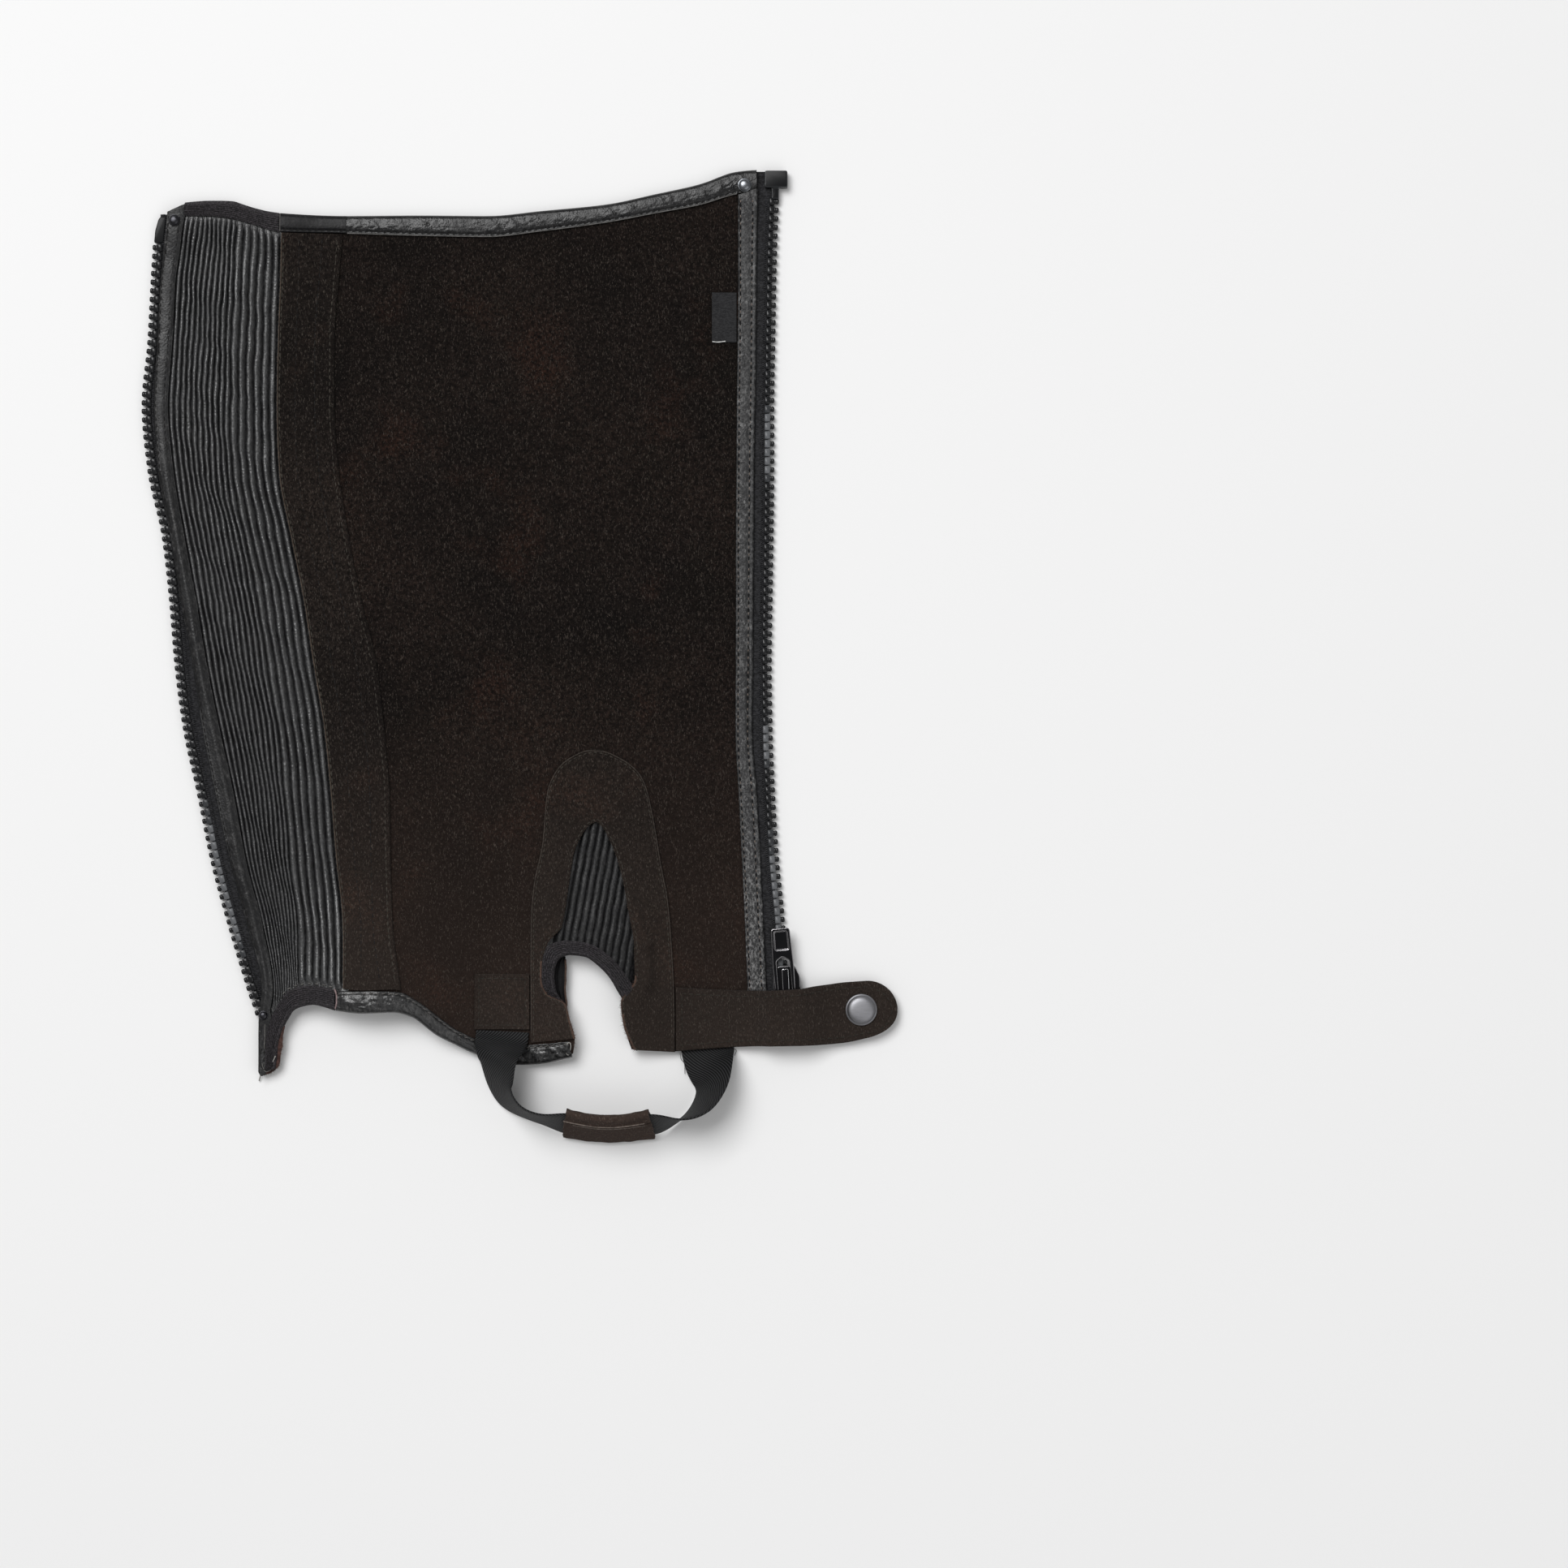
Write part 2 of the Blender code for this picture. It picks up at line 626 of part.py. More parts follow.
def build_ribbed_panel():
    """Stretch panel: ribs raised over a plain inside, bulging between its two seams."""
    edge = EDGE_PLATEAU
    near_top = [0.0, edge / 2, edge - 1.5, edge + 3.5, edge + 10.0, edge + EDGE_FADE]
    near_hem = [edge + EDGE_FADE, edge + 10.0, edge + 4.5, edge, edge / 2, 0.0]
    middle = 15
    count = len(rib_outline(0.0))
    grid = []
    plan = [("top", d) for d in near_top]
    plan += [("between", s) for s in np.linspace(0, 1, middle)[1:-1]]
    plan += [("hem", d) for d in near_hem]
    for kind, value in plan:
        row = []
        for j in range(count):
            top = 200.0
            for _ in range(4):
                top = TOP["fold"](rib_outline(top)[j][0]) - EDGE_INSET
            hem = BACK_BOTTOM(rib_outline(-150.0)[j][1])
            start = top - near_top[-1]
            end = hem + near_hem[0]
            y = {"top": top - value, "hem": hem + value,
                 "between": start + value * (end - start)}[kind]
            x, share, height = rib_outline(y)[j]
            raised = kind == "between" or value > edge
            inside = min(top - y, y - hem) - edge - 1
            bulge = BACK_BULGE * math.sin(math.pi * share) ** 2 * ramp(inside / BACK_BULGE_FADE)
            low = bed(x, y) + bulge
            crest = RIB_CREST if raised else SUEDE
            flat = j in (0, count - 1)
            high = low + (SUEDE if flat else RIB_VALLEY + height * (crest - RIB_VALLEY))
            row.append((x, y, low, high))
        grid.append(row)
    step = len(RIB_SHAPE)
    keep = [0] + list(range(1, count - 1, step)) + [count - 1]
    keep = sorted(set(keep) | {count - 2})
    return ribbed_wall("ribbed_stretch_panel", grid, keep, "leather")


def build_gusset():
    """Leaning ribs that fill the notch, each as long as the window lets it be."""
    line = curves(GUSSET_RIBS, GUSSET_COLUMNS, "x")
    first, last = GUSSET_RIBS[0][0], GUSSET_RIBS[-1][0]
    ribs = int((last - first) / RIB_PITCH)
    pitch = (last - first) / ribs
    slope = math.tan(GUSSET_LEAN)
    places = [(first + pitch * (k + part), height) for k in range(ribs) for part, height in RIB_SHAPE]
    places.append((last, 0.0))
    shares = (0.0, 0.08, 0.24, 0.42, 0.6, 0.8, 1.0)
    grid = []
    for share in shares:
        row = []
        for across, height in places:
            y = line["top"](across) + share * (line["bottom"](across) - line["top"](across))
            x = across + slope * (y - GUSSET_REFERENCE_Y)
            low = bed(x, y)
            row.append((x, y, low, low + GUSSET_VALLEY + height * (GUSSET_CREST - GUSSET_VALLEY)))
        grid.append(row)
    keep = list(range(0, len(places), len(RIB_SHAPE)))
    return ribbed_wall("gusset_stretch", grid, keep, "leather")


def overlay(name, grid_xy, slot, thick=OVERLAY, under=OVER):
    """A strip sewn on the wall: rows of (x, y) moved out from it."""
    grid = [[(x, y, bed(x, y) + under, bed(x, y) + under + thick) for x, y in row] for row in grid_xy]
    return grid_wall(name, grid, slot)


def build_seam_band():
    rows = []
    for share in np.linspace(0, 1, 25):
        row = []
        for part in (0.0, 1 / 3, 2 / 3, 1.0):
            def x_at(y):
                return LINE["band_left"](y) * (1 - part) + LINE["band_right"](y) * part

            top = TOP["inner"](x_at(194.0)) - 0.4
            y = solve_height(top, x_at, lambda x: HEM["fold"](x) + EDGE_PLATEAU + 0.3, share)
            row.append((x_at(y), y))
        rows.append(row)
    overlay("seam_band", rows, "suede_trim", under=OVER + 0.1)


def build_facings():
    """Leather strips that cover the join of each zip tape."""
    rows = []
    for y in levels(204.4, -192.5, 14.0):
        left, right = LINE["facing_left_out"](y), LINE["facing_left_in"](y)
        rows.append([(left, y), ((left + right) / 2, y), (right, y)])
    rows[0] = [(x, y + 3.2 * k / 2) for k, (x, y) in enumerate(rows[0])]
    overlay("zip_facing_back", rows, "leather")
    rows = []
    for y in levels(212.2, -178.8, 16.0):
        left, right = LINE["facing_right_in"](y), LINE["facing_right_out"](y)
        rows.append([(left, y), ((left + right) / 2, y), (right, y)])
    overlay("zip_facing_front", rows, "leather")


def binding(name, table, count, slot, under=EDGE_LIFT, cover=OVER):
    """A folded strip hooked over an edge: an open C section from its fold to both flaps."""
    flap = BINDING_LEATHER
    rings = []
    for cut in sections(table, STRIP_COLUMNS, count):
        fold = np.array((cut["fold_x"], cut["fold_y"]))
        inner = np.array((cut["inner_x"], cut["inner_y"]))
        width = float(np.linalg.norm(inner - fold))
        inward = (inner - fold) / width
        profile = ((width, -GAP), (width, -under), (1.3, -under), (0.25, 0.2 - under / 2), (0.0, 0.9),
                   (0.25, cover), (1.3, cover + flap), (width - 0.7, cover + flap),
                   (width, cover + flap - 0.3), (width, cover), (1.15, cover), (1.15, -GAP))
        ring = []
        for across, height in profile:
            x, y = fold + inward * across
            ring.append((x, y, bed(x, y) + height))
        rings.append(ring)
    return loft(name, rings, slot)


def top_rows(start, end, count):
    return [(x, TOP["fold"](x), x, TOP["inner"](x)) for x in np.linspace(start, end, count)]


def build_bindings():
    binding("top_binding_elastic", top_rows(-152.4, -110.9, 7), 9, "elastic")
    binding("top_binding_leather", top_rows(-110.5, 109.6, 20), 26, "leather")
    binding("hem_binding_elastic", HEM_ELASTIC, 17, "elastic")
    binding("hem_binding_leather", HEM_LEATHER, 20, "leather")
    binding("gusset_binding", GUSSET_BINDING, 15, "elastic", cover=GUSSET_CREST + GAP)


def build_arch_patch():
    rows = []
    for cut in sections(ARCH_PATCH, PATCH_COLUMNS, 42):
        outer = np.array((cut["outer_x"], cut["outer_y"]))
        inner = np.array((cut["inner_x"], cut["inner_y"]))
        rows.append([tuple(outer + (inner - outer) * part) for part in (0.0, 1 / 3, 2 / 3, 1.0)])
    overlay("front_arch_patch", rows, "suede_trim")


def build_zip_half(name, rows):
    """Tape and tooth rail of one zip half, from rows of tape edge, rail edges and rail lift."""
    tape = []
    rail = []
    for y, joint, facing, rail_inner, rail_tip, rise in rows:
        toward = 1 if rail_tip > joint else -1
        middle = TEETH_THICK / 2 + rise
        tape_edge = rail_inner - toward * GAP
        low = TAPE_LEVEL
        near = middle - TAPE_THICK / 2
        tape_row = [(joint, y, low, low + TAPE_THICK), (facing, y, low, low + TAPE_THICK),
                    (tape_edge, y, near, near + TAPE_THICK)]
        tape.append(tape_row if toward > 0 else tape_row[::-1])
        x0, x1 = sorted((rail_inner, rail_tip))
        top, bottom, corner = rise + TEETH_THICK, rise, 0.7
        rail.append([(x0, y, middle), (x0 + corner, y, bottom), (x1 - corner, y, bottom),
                     (x1, y, middle), (x1 - corner, y, top), (x0 + corner, y, top)])
    grid_wall(f"zip_tape_{name}", tape, "zip_tape")
    return rail


def build_zips():
    rows = []
    for y in levels(189.8, -168.0, 13.0):
        facing = LINE["facing_left_out"](y)
        tip = LINE["zip_left"](y)
        inner = min(tip + TEETH_REACH, facing - 0.9)
        rows.append((y, back_outer(y) - 0.9, facing + 0.4, inner, tip, arch(tip, y)))
    rail = build_zip_half("back", rows)
    loft("zip_teeth_back", rail, "zip_plastic")
    rows = []
    for y in levels(211.0, -179.0, 13.0):
        facing = LINE["facing_right_out"](y)
        tip = LINE["zip_right"](y)
        rows.append((y, front_joint(y) + 0.5, facing - 0.4, tip - TEETH_REACH, tip, zip_rise(y)))
    rail = build_zip_half("front", rows)
    loft("zip_teeth_front", rail, "zip_plastic")


def box_mesh(size, centre, bevel, segments=1):
    """A bevelled box as a mesh, sizes in millimetres."""
    made = bmesh.new()
    bmesh.ops.create_cube(made, size=1.0)
    bmesh.ops.scale(made, vec=Vector(size) * MM, verts=made.verts)
    if bevel:
        bmesh.ops.bevel(made, geom=made.edges[:], offset=bevel * MM, segments=segments, affect="EDGES")
    bmesh.ops.translate(made, vec=Vector(centre) * MM, verts=made.verts)
    mesh = bpy.data.meshes.new("box")
    made.to_mesh(mesh)
    made.free()
    return mesh


def combine(target, mesh, operation, name):
    """Join a mesh to an object, or cut it away, in the object's own place."""
    tool = bpy.data.objects.new(name, mesh)
    CUTTERS.objects.link(tool)
    tool.parent = target
    tool.hide_render = True
    tool.display_type = "WIRE"
    modifier = target.modifiers.new(name, "BOOLEAN")
    modifier.operation = operation
    modifier.solver = "EXACT"
    modifier.object = tool


def turned(name, profile, radius, height, place, slot, steps=24):
    """A round part from a profile turned about its own upright axis."""
    mesh = bpy.data.meshes.new(name)
    points = [(r * radius * MM, 0.0, z * height * MM) for r, z in profile]
    mesh.from_pydata(points, [(k, k + 1) for k in range(len(points) - 1)], [])
    thing = add_object(name, mesh, slot)
    thing.location = Vector(place) * MM
    screw = thing.modifiers.new("Turn", "SCREW")
    screw.steps = screw.render_steps = steps
    screw.use_merge_vertices = True
    screw.merge_threshold = 0.00001
    screw.use_smooth_shade = True
    return thing


def build_zip_hardware():
    pin = add_object("zip_pin", box_mesh((4.6, 13.2, 3.0), (0, 0, 1.5), 0.6), "zip_plastic")
    pin.location = Vector((-167.2, 196.9, 0)) * MM
    box = add_object("zip_box", box_mesh((10.7, 7.9, 5.0), (0, 0, 2.5), 0.8), "zip_plastic")
    box.location = Vector((118.6, 220.4, 0)) * MM
    combine(box, box_mesh((3.4, 6.4, 3.0), (-0.4, -5.9, 2.4), 0.5), "UNION", "zip_box_stem")


def build_slider():
    """Two plates round the teeth, a wedge between them and a bridge that holds the pull tab."""
    plate = 1.2
    lower_top = SLIDER_RISE - 0.3
    upper_bottom = SLIDER_RISE + TEETH_THICK + 0.3
    slider = add_object("zip_slider", box_mesh((12.2, SLIDER_LENGTH, plate),
                                               (0, 0, upper_bottom + plate / 2), 0.4), "black_metal")
    slider.location = Vector((123.6, SLIDER_Y, 0)) * MM
    slider.rotation_euler.z = SLIDER_LEAN
    combine(slider, box_mesh((12.2, SLIDER_LENGTH, plate), (0, 0, lower_top - plate / 2), 0.4),
            "UNION", "zip_slider_back_plate")
    wedge_height = upper_bottom - lower_top + 0.8
    middle = (upper_bottom + lower_top) / 2
    combine(slider, box_mesh((2.6, 6.5, wedge_height), (2.6, -4.6, middle), 0), "UNION",
            "zip_slider_wedge")
    crown = upper_bottom + plate
    arch_top = crown + 3.3
    outline = ((7.4, crown - 0.4), (7.0, arch_top - 1.2), (5.4, arch_top), (-5.4, arch_top),
               (-7.0, arch_top - 1.2), (-7.4, crown - 0.4))
    inside = ((5.9, crown - 0.4), (5.9, arch_top - 1.9), (5.0, arch_top - 1.2), (-5.0, arch_top - 1.2),
              (-5.9, arch_top - 1.9), (-5.9, crown - 0.4))
    made = bmesh.new()
    sides = []
    for x in (BRIDGE_X - BRIDGE_HALF, BRIDGE_X + BRIDGE_HALF):
        sides.append(([made.verts.new(Vector((x, y, z)) * MM) for y, z in outline],
                      [made.verts.new(Vector((x, y, z)) * MM) for y, z in inside]))
    for k in range(len(outline) - 1):
        for (outer, inner), turn in ((sides[0], 1), (sides[1], -1)):
            face = (outer[k], outer[k + 1], inner[k + 1], inner[k])
            made.faces.new(face[::turn])
        for a, b in ((sides[0][0], sides[1][0]), (sides[1][1], sides[0][1])):
            made.faces.new((a[k], b[k], b[k + 1], a[k + 1]))
    for k in (0, -1):
        made.faces.new((sides[0][0][k], sides[0][1][k], sides[1][1][k], sides[1][0][k]))
    bmesh.ops.recalc_face_normals(made, faces=made.faces)
    bridge = bpy.data.meshes.new("bridge")
    made.to_mesh(bridge)
    made.free()
    combine(slider, bridge, "UNION", "zip_slider_bridge")


def build_pull():
    """Pull tab about its hinge: a plate with a slot for the bridge and a sunk panel at its tip."""
    back = 0.7
    length = PULL_LENGTH + back
    pull = add_object("zip_pull", box_mesh((PULL_WIDTH, length, PULL_THICK),
                                           (0, length / 2 - back, 0), 0.4), "black_metal")
    pull.location = Vector(PULL_PIVOT) * MM
    pull.rotation_euler.z = PULL_LEAN
    slot_start, slot_end = 0.5, 15.2
    combine(pull, box_mesh((6.0, slot_end - slot_start, 4.0), (0, (slot_end + slot_start) / 2, 0), 0),
            "DIFFERENCE", "zip_pull_slot")
    combine(pull, box_mesh((5.6, 7.4, 1.0), (0, 23.4, 0.75), 0), "DIFFERENCE", "zip_pull_panel")


def build_strap():
    """Snap strap: flat on the wall, up over the slider, and down to its rounded end."""
    start, stop = STRAP[0][0], STRAP_END["x"]
    places = [start, 85.0, 98.0, 104.0, 107.0, 110.0, 113.5, 117.0, 123.0, 129.0, 132.5, 136.0, 139.5,
              143.0, 146.0, 149.0, 154.0, stop]
    grid = []
    parts = (0.0, 0.25, 0.5, 0.75, 1.0)
    for x in places:
        top, bottom, under = (STRAP_LINE[k](x) for k in ("upper_y", "lower_y", "under"))
        row = []
        for part in parts:
            y = top + (bottom - top) * part
            low = max(under, OVER) + (bed(x, y) if x < 100 else 0.0)
            row.append((x, y, low, low + STRAP_THICK))
        grid.append(row)
    centre, half, reach = STRAP_END["y"], STRAP_END["half"], STRAP_END["reach"]
    under = STRAP[-1][3]
    for turn in (25, 48, 68, 82):
        x = stop + reach * math.sin(math.radians(turn))
        spread = half * math.cos(math.radians(turn))
        row = [(x, centre + spread * (1 - 2 * part), under, under + STRAP_THICK) for part in parts]
        grid.append(row)
    grid_wall("ankle_strap", [list(row) for row in zip(*grid)][::-1], "suede_trim")


def build_snap():
    x, y = SNAP_AT
    top = STRAP[-1][3] + STRAP_THICK
    turned("strap_snap_cap", SNAP_CAP_PROFILE, 1.0, 1.0, (x, y, top + 0.3), "snap_metal", 32)
    turned("strap_snap_socket", SNAP_SOCKET_PROFILE, 1.0, 1.0, (x, y, 0.1), "snap_metal")


def build_rivets():
    for spot in RIVETS:
        x, y = spot["x"], spot["y"]
        base = bed(x, y) + OVER + OVERLAY + spot["clear"]
        turned(spot["name"], RIVET_PROFILE, spot["radius"], spot["height"], (x, y, base), "black_metal", 16)


def build_patches():
    """Flat patches: the tab that holds the webbing and the blank woven label."""
    left, right, top, bottom = -20.6, 4.9, -147.6, -173.1
    rows = [[(x, y) for x in np.linspace(left, right, 6)] for y in np.linspace(top, bottom, 6)]
    overlay("stirrup_tab", rows, "suede_trim")
    left, right, top, bottom = 88.9, 100.4, 167.4, 144.2
    rows = [[(x, y) for x in (left, right)] for y in np.linspace(top, bottom, 3)]
    overlay("label_tab", rows, "label", 0.6)


def webbing_sections():
    """Each station of the webbing: its centre, and the unit vectors of its width and thickness."""
    cuts = sections(WEBBING, WEBBING_COLUMNS, WEBBING_STATIONS)
    centres = []
    for cut in cuts:
        centres.append(Vector((cut["x"], cut["y"], cut["z"])))
    found = []
    for k, cut in enumerate(cuts):
        ahead = centres[min(k + 1, len(cuts) - 1)] - centres[max(k - 1, 0)]
        flat = Vector((ahead.x, ahead.y, 0)).normalized()
        outward = Vector((flat.y, -flat.x, 0))
        tilt = math.radians(cut["tilt"])
        width = outward * math.cos(tilt) - Vector((0, 0, 1)) * math.sin(tilt)
        width = (width - ahead.normalized() * width.dot(ahead.normalized())).normalized()
        found.append((centres[k], width, ahead.normalized().cross(width).normalized()))
    return found, [min(max(cut["on_wall"], 0.0), 1.0) for cut in cuts]


def flat_ring(centre, width, depth, half_width, half_depth, corner):
    """A rounded flat section across the webbing."""
    inner_w, inner_d = half_width - corner, half_depth - corner
    spots = ((half_width, -inner_d), (half_width, inner_d),
             (inner_w, half_depth), (-inner_w, half_depth),
             (-half_width, inner_d), (-half_width, -inner_d),
             (-inner_w, -half_depth), (inner_w, -half_depth))
    return [centre + width * a + depth * b for a, b in spots]


def build_webbing():
    stations, on_wall = webbing_sections()
    rings = [flat_ring(*station, WEBBING_WIDTH / 2, WEBBING_THICK / 2, 0.3) for station in stations]
    for ring, share in zip(rings, on_wall):
        for point in ring:
            point.z += share * bed(point.x, point.y)
    loft("stirrup_webbing", rings, "webbing", 50)
    held = [s for s in stations if SLEEVE_FROM_X < s[0].x < SLEEVE_TO_X and s[0].y < -210]
    made = bmesh.new()
    outer_w, outer_d = WEBBING_WIDTH / 2 + 1.6, WEBBING_THICK / 2 + GAP + SLEEVE_WALL
    inner_w, inner_d = WEBBING_WIDTH / 2 + GAP, WEBBING_THICK / 2 + GAP
    outer = [[made.verts.new(p * MM) for p in flat_ring(*s, outer_w, outer_d, 0.8)] for s in held]
    inner = [[made.verts.new(p * MM) for p in flat_ring(*s, inner_w, inner_d, 0.3)] for s in held]
    for k in range(8):
        n = (k + 1) % 8
        for i in range(len(held) - 1):
            made.faces.new((outer[i][k], outer[i][n], outer[i + 1][n], outer[i + 1][k]))
            made.faces.new((inner[i][n], inner[i][k], inner[i + 1][k], inner[i + 1][n]))
        made.faces.new((outer[0][n], outer[0][k], inner[0][k], inner[0][n]))
        made.faces.new((outer[-1][k], outer[-1][n], inner[-1][n], inner[-1][k]))
    finish_mesh("stirrup_sleeve", made, "suede_trim")


for old in list(bpy.data.objects):
    bpy.data.objects.remove(old, do_unlink=True)
PARTS = bpy.data.collections.new("half_chap")
CUTTERS = bpy.data.collections.new("cutters")
bpy.context.scene.collection.children.link(PARTS)
bpy.context.scene.collection.children.link(CUTTERS)

build_suede_panel()
build_ribbed_panel()
build_gusset()
build_seam_band()
build_arch_patch()
build_facings()
build_bindings()
build_zips()
build_zip_hardware()
build_slider()
build_pull()
build_strap()
build_snap()
build_rivets()
build_patches()
build_webbing()
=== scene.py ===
"""Looks of a half chap laid open and flat: suede with its nap and raw edges, ribbed leather,
bindings, moulded zip, stitching, webbing and metal parts, on a pale floor in soft light.
Tables and sizes are in millimetres; the objects are in metres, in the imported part's own frame."""
import json
import math

import bpy
import numpy as np
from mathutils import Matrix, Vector

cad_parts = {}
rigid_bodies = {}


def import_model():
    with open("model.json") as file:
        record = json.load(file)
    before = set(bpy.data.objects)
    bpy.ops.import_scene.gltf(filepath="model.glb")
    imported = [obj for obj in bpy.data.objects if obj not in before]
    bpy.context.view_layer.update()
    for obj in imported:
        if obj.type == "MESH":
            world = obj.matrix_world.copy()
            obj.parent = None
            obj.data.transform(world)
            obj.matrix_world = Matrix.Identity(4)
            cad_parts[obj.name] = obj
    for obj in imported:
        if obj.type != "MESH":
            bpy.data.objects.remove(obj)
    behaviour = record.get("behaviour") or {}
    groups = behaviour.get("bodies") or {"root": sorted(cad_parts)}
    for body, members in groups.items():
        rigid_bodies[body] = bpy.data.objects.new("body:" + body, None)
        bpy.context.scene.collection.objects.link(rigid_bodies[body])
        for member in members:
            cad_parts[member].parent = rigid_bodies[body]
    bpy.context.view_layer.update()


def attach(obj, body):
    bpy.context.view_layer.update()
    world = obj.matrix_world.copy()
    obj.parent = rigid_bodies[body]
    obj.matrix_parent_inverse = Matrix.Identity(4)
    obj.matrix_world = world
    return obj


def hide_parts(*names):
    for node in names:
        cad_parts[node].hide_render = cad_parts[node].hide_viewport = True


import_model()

MM = 0.001
BODY = "garment"

# Wall thicknesses and the gaps between pieces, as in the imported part
SUEDE = 1.8
OVERLAY = 1.1
FLAP = 1.0
STRAP_THICK = 2.4
GAP = 0.42
OVER = SUEDE + GAP
EDGE_LIFT = FLAP + GAP
EDGE_PLATEAU = 10.5
EDGE_FADE = 18.0
EDGE_INSET = 1.7
BOUND_HEM_END = 27.0
BAND_UNDER = OVER + 0.1

# Where the search for a column's upper end starts, and how often it is corrected
COLUMNS_FROM_Y = 200.0
SEARCH_ROUNDS = 7

# Half the floor's side and the place of the camera, in metres, and its lens in millimetres
FLOOR = 3.0
CAMERA_AT = (0.12225, -0.0598, 1.7136)
CAMERA_LENS = 85.0
SENSOR_WIDTH = 36.0

# Ribs of the stretch panels
RIB_COUNT = 17
RIB_PITCH = 3.45
WIDE_RIBS = 6
RIB_VALLEY = 1.1
RIB_RISE = 1.5
RIB_MARGIN = 0.6
RIB_WAVE = 0.25
RIB_WAVE_LENGTH = 41.0
BACK_BULGE = 4.0
BACK_BULGE_FADE = 30.0
GUSSET_VALLEY = 0.9
GUSSET_RISE = 1.1
GUSSET_LEAN = math.radians(10)
GUSSET_REFERENCE_Y = -125.0
GUSSET_RIB_COUNT = 11

# Zip, its slider and pull tab
TOOTH_PITCH = 4.0
TEETH_THICK = 3.2
TEETH_REACH = 4.4
TAPE_THICK = 1.0
TAPE_LEVEL = 0.8
SLIDER_Y = -152.3
SLIDER_RISE = 1.5
SLIDER_RISE_REACH = 38.0
PULL_LEAN = math.radians(5)
PULL_PIVOT = (123.0, -155.8, 7.3)
SLIDER_TURN = math.radians(3)
ZIP_BOX_AT = (118.6, 219.5, 0)

# Stirrup webbing
WEBBING_WIDTH = 24.5
WEBBING_THICK = 1.2
TWILL_PITCH = 1.08
SLEEVE_WALL = 1.2
SLEEVE_FROM_X = 21.0
SLEEVE_TO_X = 62.8
SEAM_SIDE = -1
SEAM_FACE = -1

# Places where the wall stands off the surface: centre, reach along x and y, height
ARCHES = (
    {"x": -69.0, "y": -166.0, "reach_x": 62.0, "reach_y": 72.0, "height": 13.0},
    {"x": 37.0, "y": -146.0, "reach_x": 55.0, "reach_y": 76.0, "height": 10.0},
)

# Seam lines across the leg, one row for each level; each column is an x position
LEVEL_COLUMNS = ("y", "zip_left", "facing_left_out", "facing_left_in", "band_left", "band_right",
                 "facing_right_in", "facing_right_out", "zip_right")
LEVELS = (
    (224, -168.0, -161.5, -153.5, -109.5, -80.5, 101.0, 110.0, 120.3),
    (205, -169.0, -162.5, -155.0, -109.5, -81.0, 101.0, 110.0, 119.8),
    (190, -169.5, -164.0, -157.0, -110.0, -82.0, 101.0, 109.8, 119.2),
    (173, -170.5, -166.0, -159.5, -110.5, -83.5, 101.0, 109.6, 118.8),
    (145, -172.0, -167.5, -161.0, -111.5, -85.5, 100.8, 109.4, 118.3),
    (115, -174.7, -169.0, -163.0, -112.0, -85.5, 100.4, 109.0, 117.8),
    (85, -172.0, -167.0, -160.5, -111.0, -83.5, 100.2, 108.5, 117.8),
    (55, -165.5, -161.5, -155.5, -105.5, -79.0, 100.0, 108.3, 117.5),
    (25, -162.0, -156.7, -150.0, -99.5, -73.0, 100.0, 108.1, 117.0),
    (-5, -159.5, -151.0, -145.0, -95.0, -66.0, 99.9, 107.9, 116.6),
    (-35, -155.5, -146.5, -139.0, -90.0, -62.5, 99.8, 107.6, 117.0),
    (-65, -149.0, -140.5, -132.5, -87.0, -60.0, 101.3, 109.8, 118.2),
    (-95, -143.0, -134.0, -127.0, -84.5, -59.5, 102.8, 111.4, 120.0),
    (-125, -135.0, -126.0, -119.5, -81.0, -58.0, 104.2, 112.8, 122.8),
    (-155, -126.0, -119.0, -114.3, -80.0, -53.5, 105.3, 114.2, 124.3),
    (-170, -121.5, -120.5, -116.2, -79.5, -52.0, 105.7, 114.7, 124.9),
    (-193, -121.0, -120.5, -116.6, -79.5, -52.0, 106.2, 115.2, 125.4),
)

# Top edge: the fold of the binding and its stitched inner edge
TOP_COLUMNS = ("x", "fold", "inner")
TOP_EDGE = (
    (-154, 209.0, 202.7),
    (-144, 209.8, 202.7),
    (-135, 209.8, 201.8),
    (-122.5, 206.4, 198.6),
    (-111, 204.1, 195.2),
    (-80, 202.7, 194.4),
    (-45, 202.9, 193.4),
    (-15, 202.7, 192.9),
    (10, 205.0, 195.5),
    (40, 208.0, 199.5),
    (63, 212.8, 203.8),
    (83, 217.3, 207.6),
    (101, 223.3, 212.8),
    (112, 224.2, 214.2),
)

# Lower edge of the leg, from the back tip past the instep notch to the zip
HEM_COLUMNS = ("x", "fold")
HEM_EDGE = (
    (-112, -186.0),
    (-108, -174.0),
    (-105, -166.0),
    (-99, -162.2),
    (-94, -161.4),
    (-89, -162.4),
    (-83.5, -164.0),
    (-71, -165.2),
    (-57, -164.8),
    (-49.5, -166.7),
    (-37.5, -175.7),
    (-30, -179.8),
    (-19, -185.1),
    (-2, -189.6),
    (6, -189.5),
    (25, -185.8),
    (36, -184.0),
    (53, -183.9),
    (72, -185.1),
    (80, -182.5),
    (110, -181.0),
)

